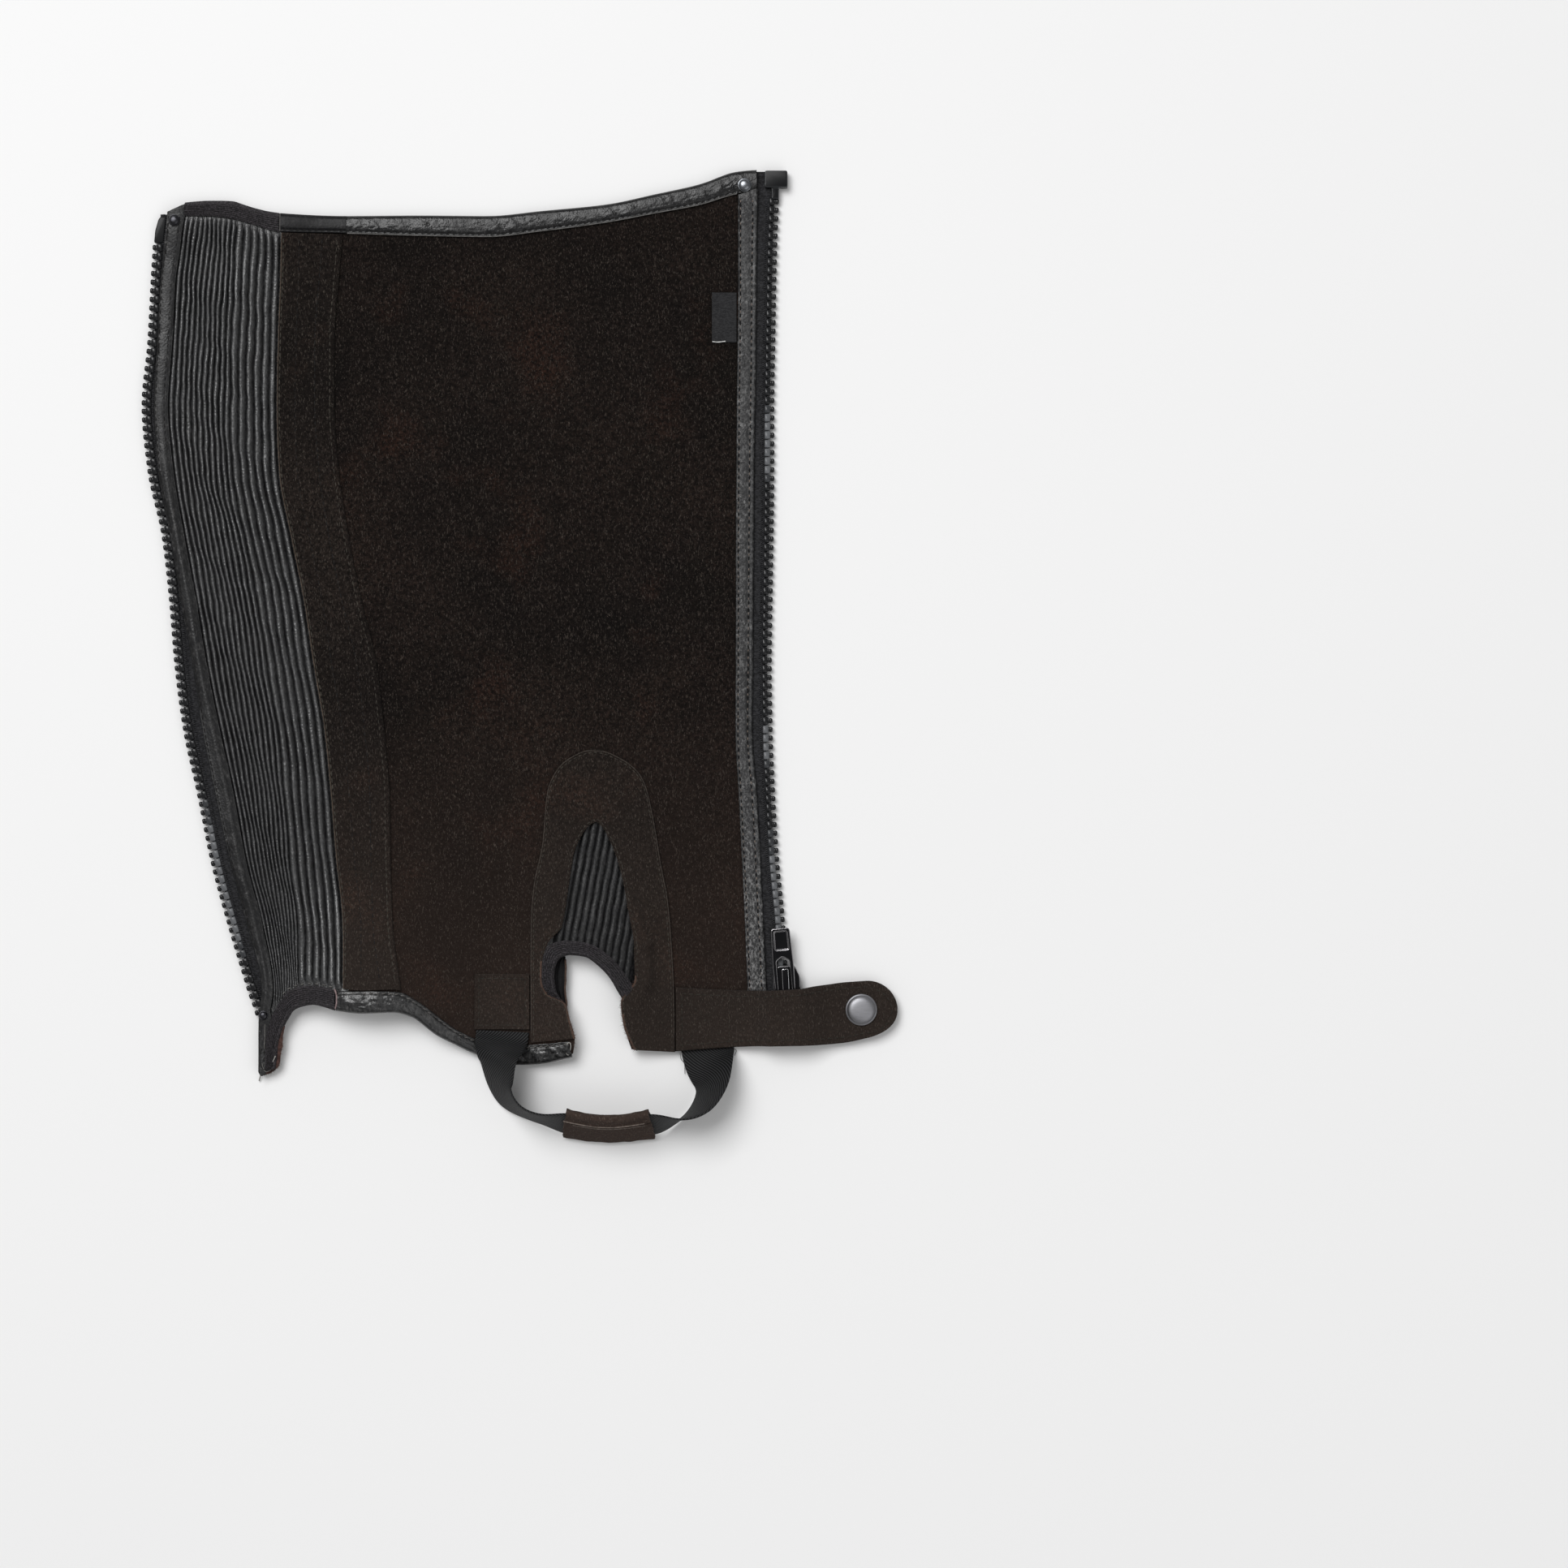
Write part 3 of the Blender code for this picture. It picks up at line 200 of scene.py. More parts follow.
# Bindings that do not follow one x to another: fold and inner edge of each section
HEM_ELASTIC = (
    (-112.4, -191.2, -117.2, -192.4),
    (-111.5, -186.2, -117.2, -186.2),
    (-110.9, -180.5, -117.0, -180.0),
    (-109.5, -175.2, -116.2, -173.0),
    (-107.7, -170.8, -114.2, -167.0),
    (-106.0, -167.8, -111.2, -162.0),
    (-103.5, -164.1, -106.9, -155.8),
    (-99.0, -162.2, -102.0, -153.4),
    (-94.1, -161.4, -95.6, -152.4),
    (-88.9, -162.4, -89.6, -153.0),
    (-83.9, -163.9, -83.9, -154.2),
)
FLAP_HIDE = (
    (-107.9, -171.4, -109.0, -172.0),
    (-108.8, -176.2, -111.0, -175.8),
    (-109.3, -181.8, -112.6, -181.5),
    (-110.2, -185.2, -113.2, -185.0),
    (-110.7, -189.2, -113.8, -188.0),
    (-112.8, -191.9, -115.0, -189.6),
    (-115.2, -193.4, -116.6, -190.6),
    (-118.2, -194.4, -118.2, -191.4),
)
HEM_LEATHER = (
    (-83.5, -164.0, -83.0, -154.9),
    (-71.0, -165.2, -68.0, -154.7),
    (-57.0, -164.8, -54.8, -155.2),
    (-49.5, -166.7, -46.1, -159.6),
    (-37.5, -175.7, -36.0, -167.5),
    (-30.0, -179.8, -29.0, -172.8),
    (-19.0, -185.1, -17.5, -178.0),
    (-2.0, -189.6, 0.0, -180.2),
    (8.0, -189.3, 8.0, -179.9),
    (24.7, -185.8, 22.8, -178.3),
)
GUSSET_BINDING = (
    (17.4, -154.8, 12.8, -151.6),
    (16.6, -148.5, 11.8, -146.5),
    (18.4, -141.0, 14.4, -135.6),
    (23.6, -138.6, 22.4, -131.8),
    (30.4, -139.3, 30.6, -132.6),
    (36.5, -143.2, 38.8, -136.4),
    (42.0, -149.0, 46.0, -143.0),
    (46.2, -156.2, 51.2, -150.2),
)

# Arch patch round the gusset: outer outline and the edge of its window, foot to foot
ARCH_PATCH = (
    (5.4, -179.1, 26.2, -176.9),
    (5.3, -170.0, 23.8, -168.5),
    (5.3, -162.5, 21.6, -161.0),
    (5.3, -157.0, 13.2, -156.6),
    (5.3, -150.0, 10.6, -150.0),
    (5.3, -143.0, 10.8, -142.0),
    (5.3, -135.0, 13.2, -133.6),
    (5.4, -122.0, 20.0, -125.0),
    (6.5, -107.0, 22.5, -109.7),
    (10.5, -87.0, 25.1, -92.4),
    (12.8, -63.6, 28.7, -83.8),
    (19.5, -50.4, 32.3, -79.0),
    (34.5, -43.7, 35.6, -77.3),
    (48.8, -48.9, 38.8, -80.2),
    (57.4, -57.9, 41.2, -84.6),
    (61.9, -75.2, 43.6, -89.8),
    (65.5, -96.0, 47.5, -102.0),
    (69.0, -115.0, 50.6, -118.3),
    (70.7, -135.0, 53.3, -134.4),
    (71.6, -153.0, 53.6, -150.0),
    (71.8, -160.0, 47.2, -160.0),
    (71.9, -171.0, 48.4, -171.0),
    (72.0, -183.6, 53.2, -182.4),
)

# The notch that the arch patch frames, cut a little wider so that the gusset drops into it
NOTCH_COLUMNS = ("y", "left", "right")
NOTCH = (
    (-72.0, 35.6, 35.6),
    (-78.0, 28.5, 42.0),
    (-85.0, 24.0, 46.0),
    (-93.0, 21.0, 48.8),
    (-110.0, 18.2, 53.5),
    (-124.0, 14.6, 56.2),
    (-134.0, 8.8, 57.6),
    (-150.0, 7.5, 57.2),
    (-158.0, 18.0, 52.5),
    (-161.0, 21.0, 47.6),
    (-168.0, 23.2, 47.9),
    (-177.0, 25.8, 50.2),
    (-190.0, 24.0, 55.0),
)

# Ribs of the gusset, one row for each: x at the reference height, top and bottom of the rib
GUSSET_COLUMNS = ("x", "top", "bottom")
GUSSET_RIBS = (
    (18.0, -93.0, -136.6),
    (22.0, -82.0, -136.6),
    (27.0, -75.6, -136.8),
    (32.0, -79.0, -137.4),
    (37.0, -87.0, -139.5),
    (42.0, -96.5, -142.9),
    (47.0, -109.5, -147.3),
    (52.0, -122.0, -152.8),
    (55.6, -134.0, -153.2),
)

# Lower edge of the ribbed back panel by share of its width
BACK_HEM_COLUMNS = ("share", "y")
BACK_HEM = ((0.0, -169.5), (0.1, -170.0), (0.2, -166.6), (0.3, -162.7), (0.4, -161.0), (0.55, -159.8),
            (0.75, -160.6), (1.0, -162.6))

# Ankle strap: both edges and the height of its underside along its length
STRAP_COLUMNS = ("x", "upper_y", "lower_y", "under")
STRAP = (
    (72.4, -153.6, -183.2, OVER),
    (85.0, -154.4, -182.3, OVER),
    (98.0, -155.0, -181.4, OVER),
    (104.0, -155.1, -181.0, 3.9),
    (110.0, -155.1, -180.7, 5.4),
    (117.0, -154.8, -180.5, 10.0),
    (129.0, -154.2, -180.3, 10.0),
    (136.0, -153.1, -180.2, 7.2),
    (143.0, -152.3, -179.9, 4.2),
    (149.0, -151.5, -179.4, 3.3),
    (154.0, -151.1, -178.6, 3.3),
    (160.0, -150.7, -177.2, 3.3),
)
STRAP_END = {"x": 160.0, "y": -164.2, "reach": 14.7, "half": 13.2}

# Stirrup webbing: centre, tilt of its width in degrees, and whether it lies on the wall
WEBBING_COLUMNS = ("x", "y", "z", "tilt", "on_wall")
WEBBING = (
    (-7.6, -174.0, 3.0, 0, 1),
    (-7.8, -178.2, 4.2, 0, 1),
    (-9.2, -184.0, 13.6, 35, 0),
    (-9.2, -191.5, 13.2, 50, 0),
    (-8.3, -199.0, 11.6, 59, 0),
    (-3.8, -206.6, 12.4, 69, 0),
    (4.0, -211.6, 12.9, 76, 0),
    (12.5, -214.2, 13.4, 74, 0),
    (19.5, -215.4, 13.7, 64, 0),
    (24.5, -215.9, 13.8, 62, 0),
    (41.6, -216.6, 13.8, 62, 0),
    (60.5, -216.2, 13.8, 62, 0),
    (65.5, -215.9, 13.7, 65, 0),
    (71.5, -215.0, 13.2, 79, 0),
    (77.5, -212.8, 12.8, 92, 0),
    (84.0, -208.0, 12.4, 108, 0),
    (88.4, -201.0, 11.4, 121, 0),
    (89.4, -194.5, 9.0, 137, 0),
    (88.0, -188.5, 5.2, 163, 0),
    (87.2, -183.9, 2.95, 180, 0),
)

# Where the gusset's binding curls under beside the notch: y, left and right edge
GUSSET_CURL = (
    (-139.4, 19.8, 21.2),
    (-142.0, 17.6, 21.6),
    (-148.5, 16.0, 21.5),
    (-153.5, 16.6, 21.4),
    (-158.0, 18.0, 21.6),
    (-160.6, 18.4, 21.8),
    (-163.4, 19.0, 22.2),
)

SNAP_AT = (157.9, -163.9)
RIVETS = (
    {"name": "rivet_top_back", "x": -159.2, "y": 200.4, "radius": 2.7, "height": 1.3, "clear": 0.3},
    {"name": "rivet_top_front", "x": 104.1, "y": 216.6, "radius": 3.1, "height": 1.5, "clear": 0.4},
    {"name": "rivet_hem_back", "x": -118.0, "y": -166.7, "radius": 2.2, "height": 1.3, "clear": 0.6},
)


def curve_through(xs, ys):
    """A smooth function through the points of a table, with no overshoot, straight beyond its ends."""
    order = np.argsort(xs)
    xs, ys = xs[order], ys[order]
    steps = np.diff(xs)
    rises = np.diff(ys) / steps
    slopes = np.concatenate(([rises[0]], np.zeros(len(xs) - 2), [rises[-1]]))
    before, after = rises[:-1], rises[1:]
    same = before * after > 0
    slopes[1:-1][same] = 2 * before[same] * after[same] / (before[same] + after[same])

    def at(x):
        x = np.asarray(x, dtype=float)
        i = np.clip(np.searchsorted(xs, x) - 1, 0, len(xs) - 2)
        t = np.clip((x - xs[i]) / steps[i], 0.0, 1.0)
        inside = ((1 + 2 * t) * (1 - t) ** 2 * ys[i] + t * (1 - t) ** 2 * steps[i] * slopes[i]
                  + t * t * (3 - 2 * t) * ys[i + 1] + t * t * (t - 1) * steps[i] * slopes[i + 1])
        return inside + slopes[0] * np.minimum(x - xs[0], 0) + slopes[-1] * np.maximum(x - xs[-1], 0)
    return at


def curves(table, names, key):
    """One smooth function for each column of a table, by its key column."""
    values = np.array(table, dtype=float)
    keys = values[:, names.index(key)]
    return {name: curve_through(keys, values[:, k]) for k, name in enumerate(names) if name != key}


def run_of(points, least=0.0):
    """Length along a line at each of its points."""
    steps = np.maximum(np.linalg.norm(np.diff(points, axis=0), axis=1), least)
    return np.concatenate(([0.0], np.cumsum(steps)))


def sections(table, count):
    """A table's rows made into count smooth sections, evenly spaced along the middle line."""
    rows = np.array(table, dtype=float)
    pairs = rows[:, :2] if rows.shape[1] == len(WEBBING_COLUMNS) else (rows[:, 0:2] + rows[:, 2:4]) / 2
    along = run_of(pairs, 0.1)
    places = np.linspace(0, along[-1], count)
    return np.stack([curve_through(along, column)(places) for column in rows.T], axis=1)


LINE = curves(LEVELS, LEVEL_COLUMNS, "y")
TOP = curves(TOP_EDGE, TOP_COLUMNS, "x")
HEM = curves(HEM_EDGE, HEM_COLUMNS, "x")
SLIT = curves(NOTCH, NOTCH_COLUMNS, "y")
BACK_BOTTOM = curves(BACK_HEM, BACK_HEM_COLUMNS, "share")["y"]
STRAP_LINE = curves(STRAP, STRAP_COLUMNS, "x")


def unit(vectors):
    """The same directions with length one."""
    return vectors / np.maximum(np.linalg.norm(vectors, axis=-1, keepdims=True), 1e-6)


def turned(way, angle):
    """Level directions turned by an angle."""
    return np.column_stack([way[:, 0] * np.cos(angle) - way[:, 1] * np.sin(angle),
                            way[:, 0] * np.sin(angle) + way[:, 1] * np.cos(angle)])


def aside(way):
    """Level directions a quarter turn to the left."""
    return np.column_stack([-way[:, 1], way[:, 0]])


def ramp(t):
    """A smooth step from nought to one."""
    t = np.clip(t, 0.0, 1.0)
    return t * t * (3 - 2 * t)


def noise(x, y, cell, seed):
    """Smooth values from -1 to 1 that change over about cell millimetres, the same on each run."""
    size = 97
    table = np.random.default_rng(seed).uniform(-1, 1, (size, size))
    u, v = np.broadcast_arrays(np.asarray(x, dtype=float) / cell, np.asarray(y, dtype=float) / cell)
    i, j = np.floor(u).astype(int), np.floor(v).astype(int)
    f, g = ramp(u - i), ramp(v - j)
    low = table[i % size, j % size] * (1 - f) + table[(i + 1) % size, j % size] * f
    high = table[i % size, (j + 1) % size] * (1 - f) + table[(i + 1) % size, (j + 1) % size] * f
    return low * (1 - g) + high * g


def groove(distance, width, depth):
    """A soft trough on the line where distance is nought."""
    return -depth * np.exp(-(distance / width) ** 2)


def arch(x, y):
    """How far the wall stands off the surface where its edges curl up."""
    height = 0.0
    for spot in ARCHES:
        r = np.hypot((x - spot["x"]) / spot["reach_x"], (y - spot["y"]) / spot["reach_y"])
        height = height + spot["height"] * np.cos(np.pi * np.minimum(r, 1.0) / 2) ** 2
    return height


def bed(x, y):
    """Underside of the wall: its arches, and the lift over the binding's lower flap."""
    from_top = TOP["fold"](x) - y
    from_hem = y - HEM["fold"](x) + np.maximum(0.0, x - BOUND_HEM_END) * 2
    near = np.minimum(from_top, from_hem)
    return arch(x, y) + EDGE_LIFT * (1 - ramp((near - EDGE_PLATEAU) / EDGE_FADE))


def zip_rise(y):
    """Extra height of the front zip half where its slider sits."""
    return SLIDER_RISE * (1 - ramp(np.abs(y - SLIDER_Y) / SLIDER_RISE_REACH))


def back_joint(y):
    """Where the back panel ends under the seam band."""
    return LINE["band_left"](y) + 1.9


def back_outer(y):
    """Where the back panel ends under the back facing."""
    return LINE["facing_left_in"](y) * 0.6 + LINE["facing_left_out"](y) * 0.4


def front_joint(y):
    """Where the leg wall ends under the front facing."""
    return LINE["facing_right_in"](y) + 4.0


def hem_inset(x):
    """Lower edge of the wall, set back from the binding's fold."""
    slant = HEM["fold"](x + 1) - HEM["fold"](x - 1)
    return HEM["fold"](x) + EDGE_INSET * np.hypot(1, slant / 2)


def edge_drop(distance, radius):
    """How far a rounded edge lies below its surface."""
    inside = np.clip(distance, 0, radius)
    return radius - np.sqrt(radius ** 2 - (radius - inside) ** 2)


def spread(length, step, close=(0.15, 0.45, 1.0)):
    """Shares from 0 to 1 of a length, a step apart and closer near both ends."""
    count = max(2, int((length - 2 * close[-1]) / step) + 1)
    middle = np.linspace(close[-1], length - close[-1], count)
    ends = np.array((0.0,) + close[:-1])
    return np.concatenate([ends, middle, length - ends[::-1]]) / length


def grid_quads(rows, columns):
    """Quads between neighbouring rows and columns of a grid."""
    index = np.arange(rows * columns).reshape(rows, columns)
    return np.stack([index[:-1, :-1], index[1:, :-1], index[1:, 1:], index[:-1, 1:]], axis=-1).reshape(-1, 4)


def meeting(edge, x_at, count):
    """Heights at which so many columns meet an edge, found by repeated correction."""
    y = np.full(count, COLUMNS_FROM_Y)
    for _ in range(SEARCH_ROUNDS):
        y = edge(x_at(y))
    return y


def linked(name, data):
    """A new object in the scene."""
    thing = bpy.data.objects.new(name, data)
    bpy.context.scene.collection.objects.link(thing)
    return thing


def dressed(thing, body, replaces):
    """Rides an object on its body and the solids that it stands for."""
    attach(thing, body)
    if replaces:
        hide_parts(*replaces)
    return thing


def piece(name, points, faces, materials, slot, replaces=(), sharp=55, groups=None, uv=None):
    """A mesh object from points in millimetres, riding on the garment and taking the given materials; its
    slot is not used.
    """
    mesh = bpy.data.meshes.new(name)
    mesh.from_pydata((np.asarray(points) * MM).tolist(), [], [list(f) for f in faces])
    for material in materials:
        mesh.materials.append(material)
    if groups is not None:
        mesh.polygons.foreach_set("material_index", np.asarray(groups, dtype=np.int32))
    if uv is not None:
        layer = mesh.uv_layers.new(name="Cloth")
        corner = np.empty(len(mesh.loops), dtype=np.int32)
        mesh.loops.foreach_get("vertex_index", corner)
        layer.data.foreach_set("uv", np.asarray(uv, dtype=np.float32)[corner].ravel())
    mesh.update()
    mesh.shade_smooth()
    mesh.set_sharp_from_angle(angle=math.radians(sharp))
    return dressed(linked(name, mesh), BODY, replaces)


def turned_out(quads, x, y):
    """The same faces, all seen from above."""
    xs, ys = x.ravel()[quads], y.ravel()[quads]
    area = np.sum(xs * np.roll(ys, -1, axis=1) - np.roll(xs, -1, axis=1) * ys)
    return quads if area > 0 else quads[:, ::-1]


def wall(name, x, y, low, high, materials, slot, quads=None, **more):
    """A closed wall over points of any layout; its rim takes the second material."""
    quads = turned_out(grid_quads(*x.shape) if quads is None else quads, x, y)
    count = x.size
    points = np.concatenate([np.stack([x.ravel(), y.ravel(), z.ravel()], axis=1) for z in (high, low)])
    edges = np.concatenate([quads[:, [k, (k + 1) % 4]] for k in range(4)])
    rim = edges[~np.isin(edges[:, 0] * count + edges[:, 1], edges[:, 1] * count + edges[:, 0])]
    sides = np.stack([rim[:, 1], rim[:, 0], rim[:, 0] + count, rim[:, 1] + count], axis=1)
    faces = np.concatenate([quads, quads[:, ::-1] + count, sides])
    groups = (np.arange(len(faces)) >= 2 * len(quads)) & (len(materials) > 1)
    return piece(name, points, faces.tolist(), materials, slot, groups=groups, **more)


def ribbed_wall(name, x, y, low, high, keep, material, slot, **more):
    """A wall whose outside follows every column, over an inside that has only the kept ones."""
    rows, columns = x.shape
    keep = np.asarray(keep)
    points = np.concatenate([np.stack([x, y, high], axis=-1).reshape(-1, 3),
                             np.stack([x, y, low], axis=-1)[:, keep].reshape(-1, 3)])
    upper = np.arange(rows * columns).reshape(rows, columns)
    lower = rows * columns + np.arange(rows * len(keep)).reshape(rows, len(keep))
    faces = grid_quads(rows, columns).tolist()
    faces += (grid_quads(rows, len(keep))[:, ::-1] + rows * columns).tolist()
    for i in range(rows - 1):
        faces.append([upper[i, 0], lower[i, 0], lower[i + 1, 0], upper[i + 1, 0]])
        faces.append([upper[i + 1, -1], lower[i + 1, -1], lower[i, -1], upper[i, -1]])
    for k in range(len(keep) - 1):
        a, b = keep[k], keep[k + 1]
        faces.append([lower[0, k + 1], lower[0, k], *upper[0, a:b + 1]])
        faces.append([*upper[-1, a:b + 1][::-1], lower[-1, k], lower[-1, k + 1]])
    return piece(name, points, [[int(v) for v in f] for f in faces], [material], slot, **more)


def outward(points, faces):
    """The faces of a closed mesh, turned if it was built inside out."""
    total = 0.0
    for face in faces:
        corner = points[list(face)]
        total += np.einsum("i,ki->", corner[0], np.cross(corner[1:-1], corner[2:]))
    return [face[::-1] for face in faces] if total < 0 else faces


def ring_quads(count, ring):
    """Quads round and along count rings of so many points."""
    index = np.arange(count * ring).reshape(count, ring)
    after = np.roll(index, -1, axis=1)
    return np.stack([index[:-1], after[:-1], after[1:], index[1:]], axis=-1).reshape(-1, 4)


def tube_faces(count, ring):
    """Faces of a loft through count rings of so many points, closed at both ends."""
    ends = [list(range(ring))[::-1], list(range((count - 1) * ring, count * ring))]
    return ring_quads(count, ring).tolist() + ends


def poled_faces(rings, sides):
    """Faces of a closed shape made of a first point, some rings and a last point."""
    last = 1 + rings * sides
    faces = []
    for k in range(sides):
        n = (k + 1) % sides
        faces.append([0, 1 + n, 1 + k])
        for first in range(1, last - sides, sides):
            second = first + sides
            faces.append([first + k, first + n, second + n, second + k])
        faces.append([last, last - sides + k, last - sides + n])
    return faces


def copies(faces, count, each):
    """Faces of so many copies of a shape, each with its own points."""
    return [[v + k * each for v in face] for k in range(count) for face in faces]


def loft(name, rings, materials, slot, **more):
    """A closed solid through rings of the same number of points."""
    points = rings.reshape(-1, 3)
    return piece(name, points, outward(points, tube_faces(*rings.shape[:2])), materials, slot, **more)


def repeated(name, shape, origins, frames, materials, slot, **more):
    """Copies of one small closed shape, each in its own place and frame, as one mesh."""
    points, faces = shape
    placed = np.einsum("nij,kj->nki", frames, points) + np.asarray(origins)[:, None, :]
    faces = copies(faces, len(placed), len(points))
    return piece(name, placed.reshape(-1, 3), faces, materials, slot, **more)


def pod(length, width, height, sides=6, rings=4):
    """A small closed stitch shape along X: points and faces."""
    points = [(-length / 2, 0, 0)]
    for t in np.linspace(0, 1, rings + 2)[1:-1]:
        fat = math.sin(math.pi * t) ** 0.6 / 2
        for turn in np.arange(sides) * 2 * math.pi / sides:
            points.append(((t - 0.5) * length, width * fat * math.cos(turn), height * fat * math.sin(turn)))
    return np.array(points + [(length / 2, 0, 0)]), poled_faces(rings, sides)


def line_at(path, places, reach):
    """Points at given lengths along a line of (x, y), with the direction at each."""
    path = np.asarray(path, dtype=float)
    along = run_of(path)

    def at(where):
        return np.stack([np.interp(where, along, path[:, k]) for k in (0, 1)], axis=1)
    return at(places), unit(at(places + reach) - at(places - reach))


def resample(path, pitch, start):
    """Points a pitch apart along a line of (x, y), with the direction at each."""
    return line_at(path, np.arange(start, run_of(np.asarray(path, dtype=float))[-1], pitch), 0.5)


def laid(x, y, surface, lift):
    """Points of a line on a surface, lifted a little."""
    return np.column_stack([x, y, surface(x, y) + lift])


def surface_frames(spots, way, surface, reach=0.4):
    """Frames that lie on a surface, with X along the given directions."""
    def leaning(level):
        ahead, behind = spots + level * reach, spots - level * reach
        return np.column_stack([level, (surface(*ahead.T) - surface(*behind.T)) / (2 * reach)])
    first = unit(leaning(way))
    normal = unit(np.cross(first, leaning(aside(way))))
    return np.stack([first, np.cross(normal, first), normal], axis=2)


def level_frames(way):
    """Upright frames with X along the given level directions."""
    frames = np.zeros((len(way), 3, 3))
    frames[:, :2, 0], frames[:, :2, 1], frames[:, 2, 2] = way, aside(way), 1
    return frames


def stitches(name, paths, surface, lift, material, slot, pitch=3.1, length=2.5, width=0.62, slant=0.0):
    """Thread along lines of (x, y) on a surface, half sunk between its holes."""
    origins, frames = [], []
    for n, path in enumerate(paths):
        spots, way = resample(path, pitch, pitch / 2)
        way = turned(way, slant + 0.05 * noise(np.arange(len(spots)) * 3.1, n, 1.0, 5))
        origins.append(laid(*spots.T, surface, lift))
        frames.append(surface_frames(spots, way, surface))
    repeated(name, pod(length, width, width * 0.8), np.concatenate(origins), np.concatenate(frames),
             [material], slot)


def hairs(name, roots, ways, lengths, width, curl, material, slot, seed):
    """Thin tapered hairs of three sides, each bending as it goes."""
    rng = np.random.default_rng(seed)
    count = len(roots)
    bend = rng.normal(0, 1, (count, 3)) * curl
    side = unit(np.cross(ways, rng.normal(0, 1, (count, 3))))
    other = np.cross(ways, side)
    lengths = lengths[:, None]
    rings = []
    for t in (0.0, 0.5):
        middle = roots + ways * lengths * t + bend * lengths * t * t
        wide = width * (1 - 0.7 * t) / 2
        for turn in np.arange(3) * 2 * math.pi / 3:
            rings.append(middle + side * math.cos(turn) * wide + other * math.sin(turn) * wide)
    points = np.stack(rings + [roots + ways * lengths + bend * lengths], axis=1)
    faces = [[2, 1, 0]]
    for k, n in ((0, 1), (1, 2), (2, 0)):
        faces += [[k, n, 3 + n, 3 + k], [3 + k, 3 + n, 6]]
    piece(name, points.reshape(-1, 3), copies(faces, count, points.shape[1]), [material], slot, sharp=180)


class Finish:
    """A procedural material: its shader and the nodes that feed it."""

    def __init__(self, name, roughness, specular, metallic=0.0, sheen=0.0):
        self.made = bpy.data.materials.new(name)
        self.made.use_nodes = True
        self.shader = self.made.node_tree.nodes["Principled BSDF"]
        self.shader.inputs["Roughness"].default_value = roughness
        self.shader.inputs["Specular IOR Level"].default_value = specular
        self.shader.inputs["Metallic"].default_value = metallic
        self.shader.inputs["Sheen Weight"].default_value = sheen

    def feed(self, socket, value):
        """Gives a socket a number, a colour or another node's output."""
        if isinstance(value, bpy.types.NodeSocket):
            self.made.node_tree.links.new(value, socket)
        else:
            socket.default_value = (*value, 1.0) if socket.type == "RGBA" else value

    def node(self, kind, output, inputs, **settings):
        """A new node's output, with its inputs fed."""
        made = self.made.node_tree.nodes.new("ShaderNode" + kind)
        for name, value in settings.items():
            setattr(made, name, value)
        for name, value in inputs.items():
            self.feed(made.inputs[name], value)
        return made.outputs[output]

    def place(self, stretch=(1, 1, 1), turn=0.0, cloth=False):
        """Coordinates on the object itself, or along its cloth."""
        where = self.node("TexCoord", "UV" if cloth else "Object", {})
        return self.node("Mapping", "Vector", {"Vector": where, "Scale": stretch, "Rotation": (0, 0, turn)})

    def height(self):
        """Place on the object from the hem to the top edge, in metres from its middle."""
        return self.node("SeparateXYZ", "Y", {"Vector": self.node("TexCoord", "Object", {})})

    def cloud(self, place, scale, detail=3.0, roughness=0.55):
        """Soft noise of a given scale."""
        return self.node("TexNoise", "Fac", {"Vector": place, "Scale": scale, "Detail": detail,
                                             "Roughness": roughness})

    def remap(self, value, low, high, to_low=0.0, to_high=1.0):
        """A value stretched from one range to another and held inside it."""
        return self.node("MapRange", "Result", {"Value": value, "From Min": low, "From Max": high,
                                                "To Min": to_low, "To Max": to_high})

    def spots(self, place, scale, low, high, detail=3.0, roughness=0.55):
        """Soft spots from nought to one."""
        return self.remap(self.cloud(place, scale, detail, roughness), low, high)

    def plus(self, first, second):
        return self.node("Math", "Value", {0: first, 1: second}, operation="ADD")

    def times(self, first, second):
        return self.node("Math", "Value", {0: first, 1: second}, operation="MULTIPLY")

    def mix(self, factor, first, second):
        """Two colours mixed by a factor; each is a colour or another mix."""
        return self.node("Mix", 2, {0: factor, 6: first, 7: second}, data_type="RGBA")

    def end(self, colour, relief=None, depth=0.0, strength=0.8):
        """The material, with its colour and its relief fed in."""
        self.feed(self.shader.inputs["Base Color"], colour)
        if relief is not None:
            bump = self.node("Bump", "Normal", {"Strength": strength, "Distance": depth, "Height": relief})
            self.feed(self.shader.inputs["Normal"], bump)
        return self.made


def tinted(base, share):
    """A colour made lighter or darker."""
    return tuple(v * share for v in base)


